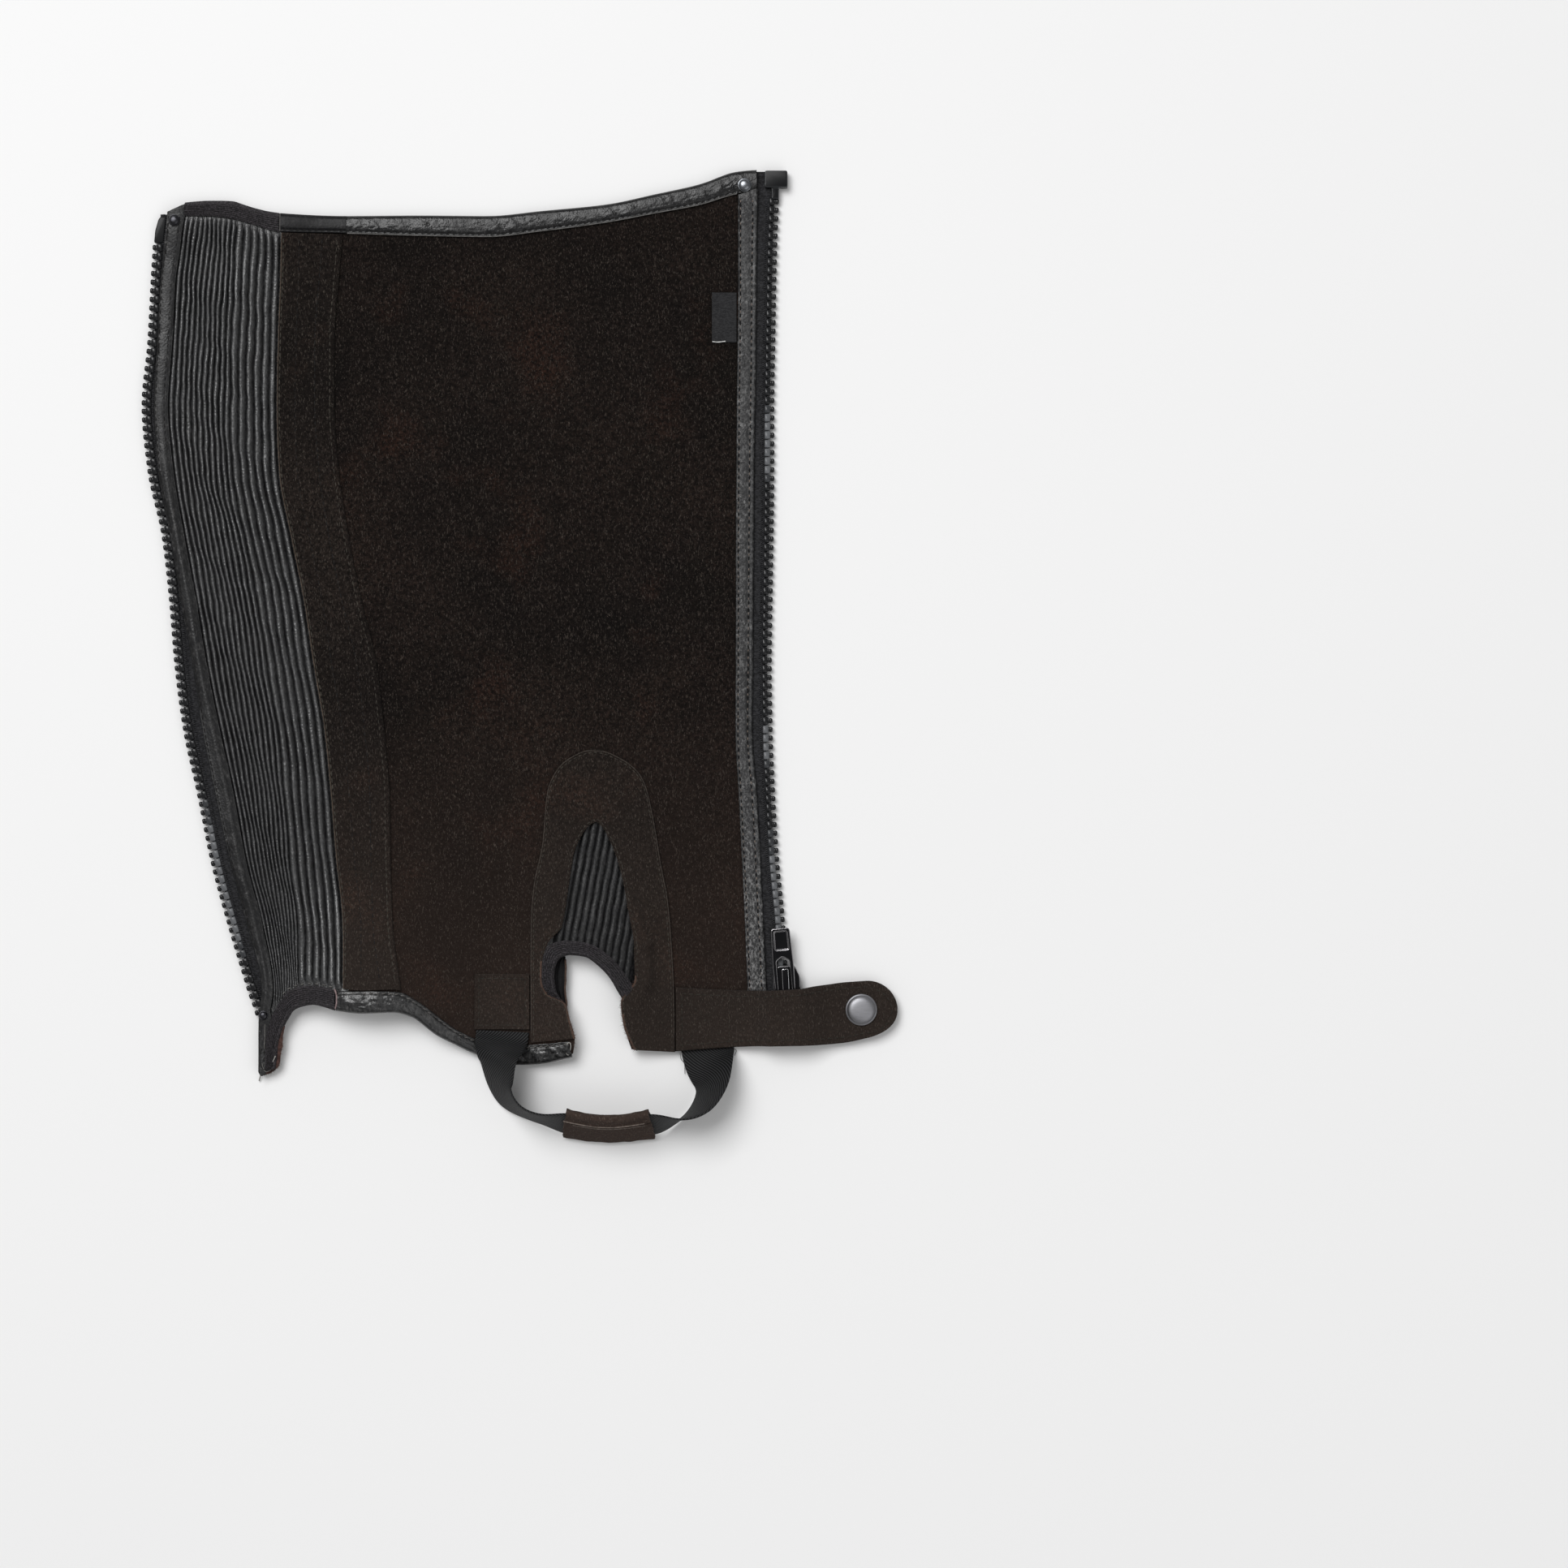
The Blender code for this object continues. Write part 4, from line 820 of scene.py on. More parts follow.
def suede_finish(name, dark, warm, red, fleck, light=1.0):
    """Brushed hide: broad patches, a short nap and lighter hair ends."""
    look = Finish(name, 1.0, 0.06, sheen=0.02)
    place = look.place()
    patches = look.mix(look.spots(place, 11.0, 0.36, 0.66, 4.0), dark, warm)
    ground = look.mix(look.spots(look.place(turn=1.0), 21.0, 0.56, 0.74, 2.0), patches, red)
    nap = look.spots(place, 700.0, 0.36, 0.62, 4.0, 0.75)
    flecks = look.spots(look.place((1900, 700, 700), 0.5), 1.0, 0.56, 0.80, 2.0, 0.6)
    mottle = look.remap(look.cloud(look.place(turn=0.8), 620.0, 3.0, 0.75), 0.38, 0.62, 0.35, 1.0)
    napped = look.mix(look.times(nap, mottle), tinted(dark, 0.40), ground)
    # Paler and warmer towards the bottom of the leg
    paler_low = look.mix(look.remap(look.height(), -0.02, -0.19, 0.0, 0.33), napped, tinted(warm, 2.1))
    return look.end(look.mix(look.times(flecks, 0.5 * light), paler_low, fleck), look.plus(nap, flecks), 0.0005)


def leather_finish(name, base, worn, roughness=0.5, grain=1100.0, depth=0.00016, specular=0.42,
                   patches=(0.30, 0.55), area=110.0, low_wear=0.0):
    """Black grain leather, with its pebbles and paler worn spots gathered in patches."""
    look = Finish(name, roughness, specular)
    place = look.place()
    pebbles = look.remap(look.node("TexVoronoi", "Distance", {"Vector": place, "Scale": grain},
                                   feature="SMOOTH_F1"), 0.0, 0.75)
    specks = look.spots(look.place((1.0, 0.55, 1.0), 0.6), 900.0, 0.46, 0.70, 3.0, 0.75)
    areas = look.spots(place, area, *patches, 3.0, 0.6)
    if low_wear:
        areas = look.plus(areas, look.remap(look.height(), -0.04, -0.14, 0.0, low_wear))
    look.feed(look.shader.inputs["Roughness"],
              look.remap(look.cloud(place, 90.0), 0.35, 0.65, roughness - 0.09, roughness + 0.09))
    grained = look.plus(pebbles, look.times(look.cloud(place, grain * 2.4), 0.5))
    return look.end(look.mix(look.times(specks, areas), base, worn), grained, depth)


def thread_finish(name, base):
    """Plain matt yarn or hair."""
    look = Finish(name, 0.85, 0.2, sheen=0.05)
    shade = look.spots(look.place(), 700.0, 0.3, 0.7)
    return look.end(look.mix(shade, tinted(base, 0.55), tinted(base, 1.35)))


def elastic_finish(name, dark, light):
    """Knitted tape: yarn ticks across its ridges."""
    look = Finish(name, 0.75, 0.22)
    ticks = look.cloud(look.place(), 1500.0, 2.0, 0.7)
    return look.end(look.mix(look.remap(ticks, 0.42, 0.68), dark, light), ticks, 0.00018)


def webbing_finish(name):
    """Slanted twill ribs of the stirrup webbing."""
    look = Finish(name, 0.62, 0.2)
    ribs = look.node("TexWave", "Fac", {"Vector": look.place(turn=math.radians(45), cloth=True),
                                        "Scale": 2 * math.pi / TWILL_PITCH / 20, "Distortion": 0.35})
    strands = look.cloud(look.place((3.2, 3.2, 3.2), cloth=True), 1.0, 2.0)
    colour = look.mix(look.remap(ribs, 0.35, 0.90), (0.0012, 0.0012, 0.0014), (0.0290, 0.0295, 0.0310))
    return look.end(colour, look.plus(ribs, look.times(strands, 0.35)), 0.0003, 0.9)


def tape_finish(name, dark, light):
    """Woven tape."""
    look = Finish(name, 0.8, 0.2)
    weave = look.cloud(look.place((1, 2.2, 1)), 900.0, 2.0, 0.7)
    return look.end(look.mix(look.remap(weave, 0.4, 0.68), dark, light), weave, 0.0002)


def plastic_finish(name, base, roughness, specular):
    """Smooth black plastic or enamel."""
    look = Finish(name, roughness, specular)
    return look.end(look.mix(look.cloud(look.place(), 240.0, 2.0), tinted(base, 0.7), tinted(base, 1.4)))


def steel_finish(name, base, roughness):
    """Brushed metal with fine scratches."""
    look = Finish(name, roughness, 0.5, metallic=1.0)
    scratches = look.cloud(look.place((1, 9, 1), 0.4), 260.0, 4.0, 0.7)
    look.feed(look.shader.inputs["Roughness"],
              look.remap(scratches, 0.3, 0.7, roughness - 0.07, roughness + 0.09))
    return look.end(look.mix(scratches, tinted(base, 0.72), tinted(base, 1.25)))


def swell(x, y):
    """Soft unevenness of hide that has been worn: low, broad and faded out at the two zips."""
    fade = ramp((x + 150) / 40) * ramp((100 - x) / 30)
    return fade * (0.35 * noise(x, y, 52, 11) + 0.35 + 0.12 * noise(x, y, 19, 12))


def ground(x, y):
    """Underside of the wall with its unevenness."""
    return bed(x, y) + swell(x, y)


def hide(x, y):
    """Outside of the suede."""
    return ground(x, y) + SUEDE


def over_hide(x, y):
    """Outside of a piece sewn on the suede."""
    return ground(x, y) + OVER + OVERLAY


def facing_top(x, y):
    """Outside of the zip facings."""
    return bed(x, y) + OVER + OVERLAY


def binding_top(x, y):
    """Outside of the folded bindings."""
    return ground(x, y) + OVER + FLAP


def build_suede():
    """Leg wall: a grid whose middle column parts below the notch's peak."""
    peak = NOTCH[0][0]
    left, right = np.linspace(0, 1, 78), np.linspace(0, 1, 36)
    side = np.repeat((-1, 1), (len(left), len(right)))
    share = np.concatenate([left, right])
    top_steps = np.linspace(0, EDGE_PLATEAU + EDGE_FADE, 13)

    def across(y, split):
        edge_left, edge_right = (SLIT[name](y if split else peak) for name in ("left", "right"))
        start = back_joint(y) + 0.5
        return np.where(side < 0, start + share * (edge_left - start),
                        edge_right + share * (front_joint(y) - edge_right))

    top = meeting(lambda x: TOP["fold"](x) - EDGE_INSET, lambda y: across(y, False), len(side))
    start = top - top_steps[-1]
    upper = [top - s for s in top_steps] + [start + s * (peak - start) for s in np.linspace(0, 1, 118)[1:]]
    xs, ys = [across(y, False) for y in upper], upper[:]
    split_row = len(xs) - 1
    steps = [(s, top_steps[-1]) for s in np.linspace(0, 1, 42)[1:]] + [(1.0, s) for s in top_steps[-2::-1]]
    for part, above in steps:
        y = np.full(len(side), peak)
        for _ in range(SEARCH_ROUNDS):
            y = peak + part * (hem_inset(across(y, True)) + above - peak)
        xs.append(across(y, True))
        ys.append(y)
    x, y = np.array(xs), np.array(ys)
    index = np.arange(x.size).reshape(x.shape)
    seam = len(left)
    index[:split_row + 1, seam] = index[:split_row + 1, seam - 1]
    quads = np.stack([index[:-1, :-1], index[1:, :-1], index[1:, 1:], index[:-1, 1:]], axis=-1)
    quads = np.delete(quads, seam - 1, axis=1).reshape(-1, 4)
    used, quads = np.unique(quads, return_inverse=True)
    x, y = x.ravel()[used], y.ravel()[used]
    low = ground(x, y)
    rough = 0.10 * noise(x, y, 3.1, 21) + 0.06 * noise(x, y, 7.3, 22)
    suede = wall("look_suede", x, y, low, low + SUEDE + rough, [SUEDE_LOOK, RAW_LOOK], "suede",
                 quads=quads.reshape(-1, 4), replaces=["suede_panel"])


RIB_PARTS = np.array((0.0, 0.06, 0.15, 0.29, 0.45, 0.62, 0.78, 0.90))


def rib_height(parts):
    """Height of a rib across its width, from nought to one."""
    return 1 - np.abs(2 * parts - 1) ** 2.7


def back_ribs(y):
    """For each height: x, share, height and pitch of every outer column of the back panel."""
    y = np.asarray(y, dtype=float)
    nought = 0 * y
    start, end = LINE["facing_left_in"](y) + RIB_MARGIN, LINE["band_left"](y) - RIB_MARGIN
    narrow = RIB_COUNT - WIDE_RIBS
    split = end - WIDE_RIBS * RIB_PITCH
    upper = ramp((y + 40) / 110)
    columns = [(back_outer(y), nought, nought, nought + 1)]
    for k in range(RIB_COUNT):
        a, b = (start + (split - start) * n / narrow if k < narrow else split + RIB_PITCH * (n - narrow)
                for n in (k, k + 1))
        for part in RIB_PARTS:
            x, rib = a + part * (b - a), k + part
            share = (x - start) / (end - start)
            sway = (RIB_WAVE * np.sin(2 * np.pi * y / RIB_WAVE_LENGTH + 0.7 * rib)
                    + 0.07 * np.sin(2 * np.pi * y / 5.3 + 2.1 * np.sin(y / 9) + 1.3 * k)
                    + (0.05 + 0.08 * upper) * np.sin(2 * np.pi * y / 15.5 + 1.6 * np.sin(y / 21) + 0.9 * rib)
                    + (0.08 + 0.09 * upper) * noise(rib * 0.9, y / 5.5, 1.0, 31))
            x = x + sway * np.minimum(1.0, 3.0 * np.sin(np.pi * share))
            height = rib_height(part) * (1 + 0.16 * noise(k * 3.3 + part, y / 4.2, 1.0, 32))
            columns.append((x, share, height + nought, b - a))
    columns += [(x, nought + 1, nought, nought + 1) for x in (end, back_joint(y))]
    return np.moveaxis(np.array(columns), 1, 0)


def build_back_panel():
    """Leather pleated in ribs, flat under its edges."""
    count = len(back_ribs(np.zeros(1))[0])
    diagonal = np.arange(count)

    def ribs_at(y):
        return back_ribs(y)[:, diagonal, diagonal]

    top = meeting(lambda x: TOP["fold"](x) - EDGE_INSET, lambda y: ribs_at(y)[0], count)
    hem = BACK_BOTTOM(ribs_at(np.full(count, -150.0))[1])
    y = top + np.linspace(0, 1, 178)[:, None] * (hem - top)
    x, share, height, pitch = np.stack([ribs_at(level) for level in y], axis=1)
    inside = np.minimum(top - y, y - hem) - EDGE_PLATEAU - 1
    low = bed(x, y) + BACK_BULGE * np.sin(np.pi * share) ** 2 * ramp(inside / BACK_BULGE_FADE)
    raised = ramp((TOP["inner"](x) - 0.4 - y) / 2.6) * ramp((y - hem - 8.0) / 2.2)
    high = low + RIB_VALLEY + 0.15 + raised * (height * np.minimum(RIB_RISE, 0.62 * pitch) - 0.15)
    high = np.where((diagonal == 0) | (diagonal == count - 1), low + 1.5, high)
    keep = [0] + list(range(1, count - 2, len(RIB_PARTS))) + [count - 2, count - 1]
    panel = ribbed_wall("look_back_panel", x, y, low, high, keep, LEATHER_RIB, "leather",
                        replaces=["ribbed_stretch_panel"], sharp=80)


def build_gusset():
    """The same ribbed leather over the instep, its ribs leaning."""
    line = curves(GUSSET_RIBS, GUSSET_COLUMNS, "x")
    first, last, ribs = GUSSET_RIBS[0][0], GUSSET_RIBS[-1][0], GUSSET_RIB_COUNT
    rib = (np.arange(ribs)[:, None] + RIB_PARTS).ravel()
    across = np.concatenate([[first - 1.0], first + (last - first) / ribs * rib, [last, last + 3.4]])
    crest = 1 - np.abs(2 * RIB_PARTS - 1) ** 3.2
    height = np.concatenate([[0.0], np.tile(crest, ribs), [0.0, 0.0]])
    rib = np.concatenate([[0.0], rib, [ribs, ribs]])
    held = np.clip(across, first, last)
    y = line["top"](held) + np.linspace(0, 1, 34)[:, None] * (line["bottom"](held) - line["top"](held))
    x = across + math.tan(GUSSET_LEAN) * (y - GUSSET_REFERENCE_Y)
    x = x + 0.07 * np.sin(2 * np.pi * y / 11.0 + 0.55 * rib + 1.2 * np.sin(y / 13))
    x = x + 0.11 * noise(rib * 0.9, y / 4.5, 1.0, 34)
    height = height * (1 + 0.14 * noise(rib * 2.1, y / 4.0, 1.0, 33))
    low = bed(x, y)
    keep = [0] + list(range(1, len(across) - 1, len(RIB_PARTS))) + [len(across) - 1]
    gusset = ribbed_wall("look_gusset", x, y, low, low + GUSSET_VALLEY + height * GUSSET_RISE, keep,
                         GUSSET_LOOK, "leather", replaces=["gusset_stretch"], sharp=80)


def build_band():
    """Suede strip over the back seam, its left edge raw, its right edge turned under and stitched."""
    shares = np.linspace(0, 1, 190)[:, None]
    parts = spread(29.0, 1.7)

    def x_at(y):
        left, right = LINE["band_left"](y), LINE["band_right"](y)
        return left + parts * (right - left) + 0.12 * noise(y, 3, 2.4, 41) * (parts == 0)

    top = meeting(lambda x: TOP["inner"](x) - 0.4, x_at, len(parts))
    y = np.full((len(shares), len(parts)), 190.0)
    for _ in range(SEARCH_ROUNDS):
        y = top + shares * (HEM["fold"](x_at(y)) + EDGE_PLATEAU + 0.3 - top)
    x = x_at(y)
    low = ground(x, y) + BAND_UNDER
    from_left, from_right = x - x[:, :1], x[:, -1:] - x
    high = low + OVERLAY + 0.05 * noise(x, y, 2.6, 42)
    high = high - edge_drop(from_left, 0.45) - edge_drop(from_right, 0.7)
    for distance, width, depth in ((from_left - 1.1, 0.55, 0.32), (from_right - 2.1, 0.55, 0.32),
                                   (from_left - 8.4, 0.8, 0.10), (from_right - 9.0, 0.9, 0.16)):
        high = high + groove(distance, width, depth)
    high = np.maximum(high, low + 0.35)
    band = wall("look_band", x, y, low, high, [TRIM_LOOK, FUZZ_LOOK], "suede_trim", replaces=["seam_band"])
    paint_near(band, (from_left[:-1, :-1] + from_left[1:, 1:]) / 2 < 0.4)


def band_surface(x, y):
    """Outside of the seam band."""
    return ground(x, y) + BAND_UNDER + OVERLAY


def paint_near(thing, chosen):
    """Gives chosen faces of a wall's outside its second material."""
    for k in np.flatnonzero(chosen.ravel()):
        thing.data.polygons[int(k)].material_index = 1


def build_patch():
    """Suede arch round the gusset, with its soft folds."""
    cuts = sections(ARCH_PATCH, 220)
    parts = spread(22.0, 1.25)
    outer, inner = cuts[:, None, 0:2], cuts[:, None, 2:4]
    x, y = np.moveaxis(outer + (inner - outer) * parts[:, None], -1, 0)
    width = np.linalg.norm(inner - outer, axis=-1)
    from_outer, from_inner = parts * width, (1 - parts) * width
    low = ground(x, y) + OVER
    high = low + OVERLAY + 0.05 * noise(x, y, 2.6, 43) + patch_folds(x, y)
    high = high - edge_drop(from_outer, 0.6) - edge_drop(from_inner, 0.4)
    high = high + groove(from_outer - 1.5, 0.5, 0.26) + groove(from_inner - 1.2, 0.5, 0.22)
    patch = wall("look_patch", x, y, low, np.maximum(high, low + 0.35), [TRIM_LOOK, RAW_LOOK], "suede_trim",
                 replaces=["front_arch_patch"])
    feet = np.zeros(x.shape, dtype=bool)
    feet[:32] = feet[-30:] = True
    paint_near(patch, ((from_inner[:-1, :-1] + from_inner[1:, 1:]) / 2 < 0.8) & feet[:-1, :-1])


def near_line(x, y, start, end):
    """Distance from a short line."""
    dx, dy = end[0] - start[0], end[1] - start[1]
    held = np.clip(((x - start[0]) * dx + (y - start[1]) * dy) / (dx * dx + dy * dy), 0, 1)
    return np.hypot(x - start[0] - held * dx, y - start[1] - held * dy)


# Soft folds of the patch: both ends, width and height; below nought is a trough
FOLDS = (
    {"start": (52.4, -112.0), "end": (59.4, -134.0), "width": 2.1, "height": 1.6},
    {"start": (59.4, -134.0), "end": (59.6, -152.0), "width": 2.1, "height": 1.6},
    {"start": (59.6, -152.0), "end": (53.0, -162.5), "width": 2.2, "height": 0.8},
    {"start": (64.0, -118.0), "end": (65.4, -158.0), "width": 2.6, "height": -0.65},
    {"start": (11.0, -112.0), "end": (9.0, -140.0), "width": 2.4, "height": -0.38},
    {"start": (17.5, -104.0), "end": (12.0, -131.0), "width": 2.2, "height": 0.9},
)


def patch_folds(x, y):
    """Height of the arch patch's soft folds."""
    total = 0.0
    for fold in FOLDS:
        distance = near_line(x, y, fold["start"], fold["end"])
        total = total + fold["height"] * np.exp(-(distance / fold["width"]) ** 2)
    return np.maximum(total, -0.7)


def patch_surface(x, y):
    """Outside of the arch patch."""
    return over_hide(x, y) + patch_folds(x, y)


def facing_grid(outer, inner, y, width, wider=0.0):
    """Grid of a strip between two seam lines: x, y, shares, and distances from its left and right edges."""
    parts = spread(width, 0.8, (0.15, 0.45, 0.9))
    left, right = LINE[outer](y)[:, None], (LINE[inner](y) + wider)[:, None]
    x = left + (right - left) * parts
    return x, np.repeat(y[:, None], len(parts), axis=1), parts, x - left, right - x


def build_facings():
    """Leather strips over the joins of the zip's tapes."""
    y = np.linspace(204.2, -192.5, 230)
    wider = (0.5 + 0.7 * ramp((y - 194) / 6) + 1.1 * ramp((-164 - y) / 4) * (1 - ramp((-170 - y) / 6))
             - 0.9 * ramp((-168 - y) / 6))
    x, y, parts, from_left, from_right = facing_grid("facing_left_out", "facing_left_in", y, 7.2, wider)
    y = y + (0.2 + 3.9 * parts) * ramp((y - 188.0) / 16.2)
    y = y - 2.2 * np.sin(np.pi * np.minimum(parts, 0.8)) * ramp((-185.0 - y) / 7.5)
    low = bed(x, y) + OVER
    high = (low + OVERLAY + 0.10 * noise(x, y, 1.7, 51) + 0.10 * noise((x + y) * 0.8, y, 3.4, 52)
            - edge_drop(from_left, 0.7) - edge_drop(from_right, 0.6)
            + groove(from_left - 1.0, 0.42, 0.42) + groove(from_right - 1.3, 0.42, 0.42)
            + 0.75 * np.exp(-((from_right - 3.3) / 1.3) ** 2) * ramp((120 - y) / 60)
            - 0.6 * ramp(1 - from_right / 1.5))
    strip = wall("look_facing_back", x, y, low, np.maximum(high, low + 0.4), [LEATHER_BACK], "leather",
                 replaces=["zip_facing_back"])
    x, y, parts, from_left, from_right = facing_grid("facing_right_in", "facing_right_out",
                                                     np.linspace(212.2, -178.8, 230), 8.6)
    y = y + 3.0 * parts * ramp((y - 203.0) / 9.2)
    low = bed(x, y) + OVER
    slanted = 0.26 * noise((x + 0.9 * y) * 0.9, (x - y) * 0.22, 1.5, 53)
    high = (low + OVERLAY + slanted * ramp(from_left / 1.5) + 0.08 * noise(x, y, 1.4, 54)
            - edge_drop(from_left, 0.7) - edge_drop(from_right, 0.8)
            + groove(from_left - 1.2, 0.42, 0.38) + groove(from_right - 2.2, 0.45, 0.55)
            + 0.30 * np.exp(-((from_right - 0.9) / 0.7) ** 2))
    strip = wall("look_facing_front", x, y, low, np.maximum(high, low + 0.4), [LEATHER_LOOK], "leather",
                 replaces=["zip_facing_front"])


def binding_ring(width, cover, ridges, pleat, rows):
    """Profile of a folded strip: across from the fold, and height over the wall's underside."""
    top = cover + FLAP
    middle, half = (top - EDGE_LIFT) / 2, (top + EDGE_LIFT) / 2
    lead = min(2.4, width * 0.3)
    points = [(width, -GAP), (width, -EDGE_LIFT)]
    for turn in np.radians(np.linspace(-80, 80, 11)):
        points.append((lead * (1 - math.cos(turn)), middle + half * math.sin(turn)))
    crown = np.linspace(points[-1][0] + 0.35, width - 0.35, rows)
    for a in crown:
        share = (a - crown[0]) / (crown[-1] - crown[0])
        lift = 0.22 * math.sin(math.pi * share) - 0.30 * share ** 6
        if ridges:
            lift += pleat * abs(math.sin(math.pi * ridges * share)) ** 0.6 - pleat * 0.6
        points.append((a, top + lift))
    points += [(width, top - 0.6), (width, cover), (1.15, cover), (1.15, -GAP)]
    return np.array(points), len(points) - 4 - rows


def build_binding(name, table, length, material, slot, node, cover=OVER, ridges=0,
                  pleat=0.0, wrinkle=0.0, stitch=None, rows=16, seed=60, dip=0.0, squeeze=0.9, cell=1.35):
    """A folded strip hooked over an edge, with its ridges or its wrinkles."""
    count = max(8, int(length / 1.15))
    cuts = sections(table, count)
    rings = []
    places = np.linspace(0, length, count)
    for k, cut in enumerate(cuts):
        fold, inner = cut[0:2], cut[2:4]
        width = float(np.linalg.norm(inner - fold))
        inward = (inner - fold) / width
        held = cover - dip * (1 - float(ramp((min(places[k], length - places[k]) - 2.5) / 4.0)))
        profile, first = binding_ring(width, held, ridges, pleat, rows)
        spot = fold + inward * profile[:, :1]
        height = profile[:, 1].copy()
        on_top = slice(first - 4, first + rows)
        across = profile[on_top, 0]
        if wrinkle:
            fade = ramp((across - 0.8) / 2.6) * ramp((width - across) / 1.4)
            creases = noise(places[k] + squeeze * across, across * 0.16, cell, seed)
            creases = creases * (0.45 + 0.55 * noise(places[k], 5.0, 14.0, seed + 2))
            creases = creases + 0.30 * noise(places[k], across, 1.0, seed + 1)
            height[on_top] += wrinkle * creases * fade
        if stitch is not None:
            height[on_top] -= 0.45 * np.exp(-((width - across - stitch) / 0.45) ** 2)
        rings.append(np.column_stack([spot, ground(spot[:, 0], spot[:, 1]) + height]))
    strip = loft(name, np.array(rings), [material], slot, replaces=[node], sharp=60)


def top_rows(start, end, count):
    """Sections of a binding along the top edge: its fold and its inner edge."""
    return [(x, float(TOP["fold"](x)), x, float(TOP["inner"](x))) for x in np.linspace(start, end, count)]


def build_bindings():
    """Elastic and leather bindings of the top edge, the hem and the gusset."""
    build_binding("look_top_elastic", top_rows(-154.5, -110.9, 9), 43, ELASTIC_LOOK, "elastic",
                  "top_binding_elastic", ridges=6, pleat=0.42, rows=31)
    build_binding("look_top_leather_start", top_rows(-110.5, -79.9, 8), 31, LEATHER_PLAIN, "leather",
                  "top_binding_leather", wrinkle=0.08, stitch=1.1, rows=20, seed=63)
    build_binding("look_top_leather", top_rows(-79.8, 109.6, 34), 192, LEATHER_TOP, "leather",
                  "top_binding_leather", wrinkle=0.45, stitch=1.1, rows=20, seed=61, cell=1.0,
                  squeeze=-0.5)
    x = np.linspace(-79.4, 100.5, 60)
    yarn("look_top_lip", laid(x, TOP["inner"](x) + 0.05, binding_top, -0.30), 0.25, LIP_LOOK, "leather", 240)
    x, y = np.array((-84.0, -83.3, -82.9, -82.9, -83.5)), np.array((-153.9, -155.4, -157.4, -159.8, -162.9))
    rise = np.array((-0.05, 0.15, 0.20, 0.20, -0.25))
    yarn("look_hem_join", laid(x, y, binding_top, rise), 0.38, JOIN_LOOK, "leather", 30)
    build_binding("look_hem_elastic", HEM_ELASTIC, 51, ELASTIC_LOOK, "elastic", "hem_binding_elastic",
                  ridges=7, pleat=0.42, rows=36)
    build_binding("look_hem_leather", HEM_LEATHER, 118, LEATHER_EDGE, "leather", "hem_binding_leather",
                  wrinkle=0.95, stitch=1.1, rows=20, seed=64, squeeze=0.45)
    hooked = [list(row) for row in GUSSET_BINDING]
    for row, inner in zip(hooked, ((11.4, -153.9), (10.2, -147.2), (13.2, -134.6))):
        row[2:] = inner
    hooked = [[20.6, -160.6, 14.4, -158.6]] + hooked + [[50.6, -163.2, 55.8, -157.6]]
    build_binding("look_gusset_binding", hooked, 80, ELASTIC_LOOK, "elastic", "gusset_binding",
                  cover=GUSSET_VALLEY + GUSSET_RISE + GAP, ridges=5, pleat=0.46, rows=31,
                  dip=1.45)


def rounded_block(x0, x1, half, z0, z1, corner, sides=4):
    """A closed rounded block: points and faces, long corners cut round."""
    spots = []
    for cx, cy, first in ((x1 - corner, half - corner, 0), (x0 + corner, half - corner, 90),
                          (x0 + corner, -half + corner, 180), (x1 - corner, -half + corner, 270)):
        for turn in np.radians(first + np.linspace(0, 90, sides)):
            spots.append((cx + corner * math.cos(turn), cy + corner * math.sin(turn)))
    spots = np.array(spots)
    away = spots - spots.mean(axis=0)
    edge = min(0.35, corner)
    layers = [np.column_stack([spots - unit(away) * shrink, np.full(len(spots), z)])
              for z, shrink in ((z0, edge), (z0 + edge, 0.0), (z1 - edge, 0.0), (z1, edge))]
    return np.concatenate(layers), tube_faces(4, len(spots))


def joined(shapes):
    """Several shapes as one: points and faces."""
    points, faces, count = [], [], 0
    for spots, parts in shapes:
        points.append(spots)
        faces += [[v + count for v in face] for face in parts]
        count += len(spots)
    return np.concatenate(points), faces


# Where the teeth's bodies are painted paler as a highlight: middle and reach along each half
TEETH_HIGHLIGHT_SPANS = {"back": ((-104.0, 46.0),), "front": ((98.0, 22.0), (-42.0, 14.0), (-128.0, 60.0))}


def tooth_shape():
    """A tooth gripping the cord of the tape, with its neck and round head pointing to the other half."""
    body = rounded_block(0.0, 2.55, 1.80, 0.0, 3.2, 0.5, 3)
    shoulder = rounded_block(2.2, 3.3, 1.15, 0.3, 2.8, 0.3, 2)
    head = rounded_block(2.9, 4.5, 1.25, 0.3, 2.9, 0.75, 4)
    return joined((body, shoulder, head))


def zip_path(half):
    """Rows of the tooth line: y, tip x, rise, and which way the heads point."""
    if half == "back":
        y = np.linspace(189.8, -168.0, 720)
        return y, LINE["zip_left"](y), arch(LINE["zip_left"](y), y), -1
    y = np.linspace(211.0, -179.0, 780)
    return y, LINE["zip_right"](y), zip_rise(y), 1


def build_teeth(half):
    """Moulded teeth along one half, their bodies painted paler as a highlight along some stretches."""
    y, tip, rise, way = zip_path(half)
    spots, direction = resample(np.column_stack([tip, y]), TOOTH_PITCH, 1.6)
    out = aside(direction)
    out *= way * np.sign(out[:, :1])
    origins = np.column_stack([spots - out * 4.5, np.interp(-spots[:, 1], -y, rise)])
    shape = tooth_shape()
    teeth = repeated(f"look_teeth_{half}", shape, origins, level_frames(out),
                     [TOOTH_LOOK, TOOTH_HALF_HIGHLIGHT, TOOTH_HIGHLIGHT], "zip_plastic", replaces=[f"zip_teeth_{half}"])
    each, body = len(shape[1]), len(tube_faces(4, 12))
    # Bodies near these stretches take paler copies of the teeth's plastic: a painted highlight
    for k, place in enumerate(origins):
        highlight_share = max(0.0, *(1 - abs(place[1] - y) / reach for y, reach in TEETH_HIGHLIGHT_SPANS[half]))
        for face in teeth.data.polygons[k * each:k * each + body]:
            face.material_index = min(2, int(highlight_share * 5))


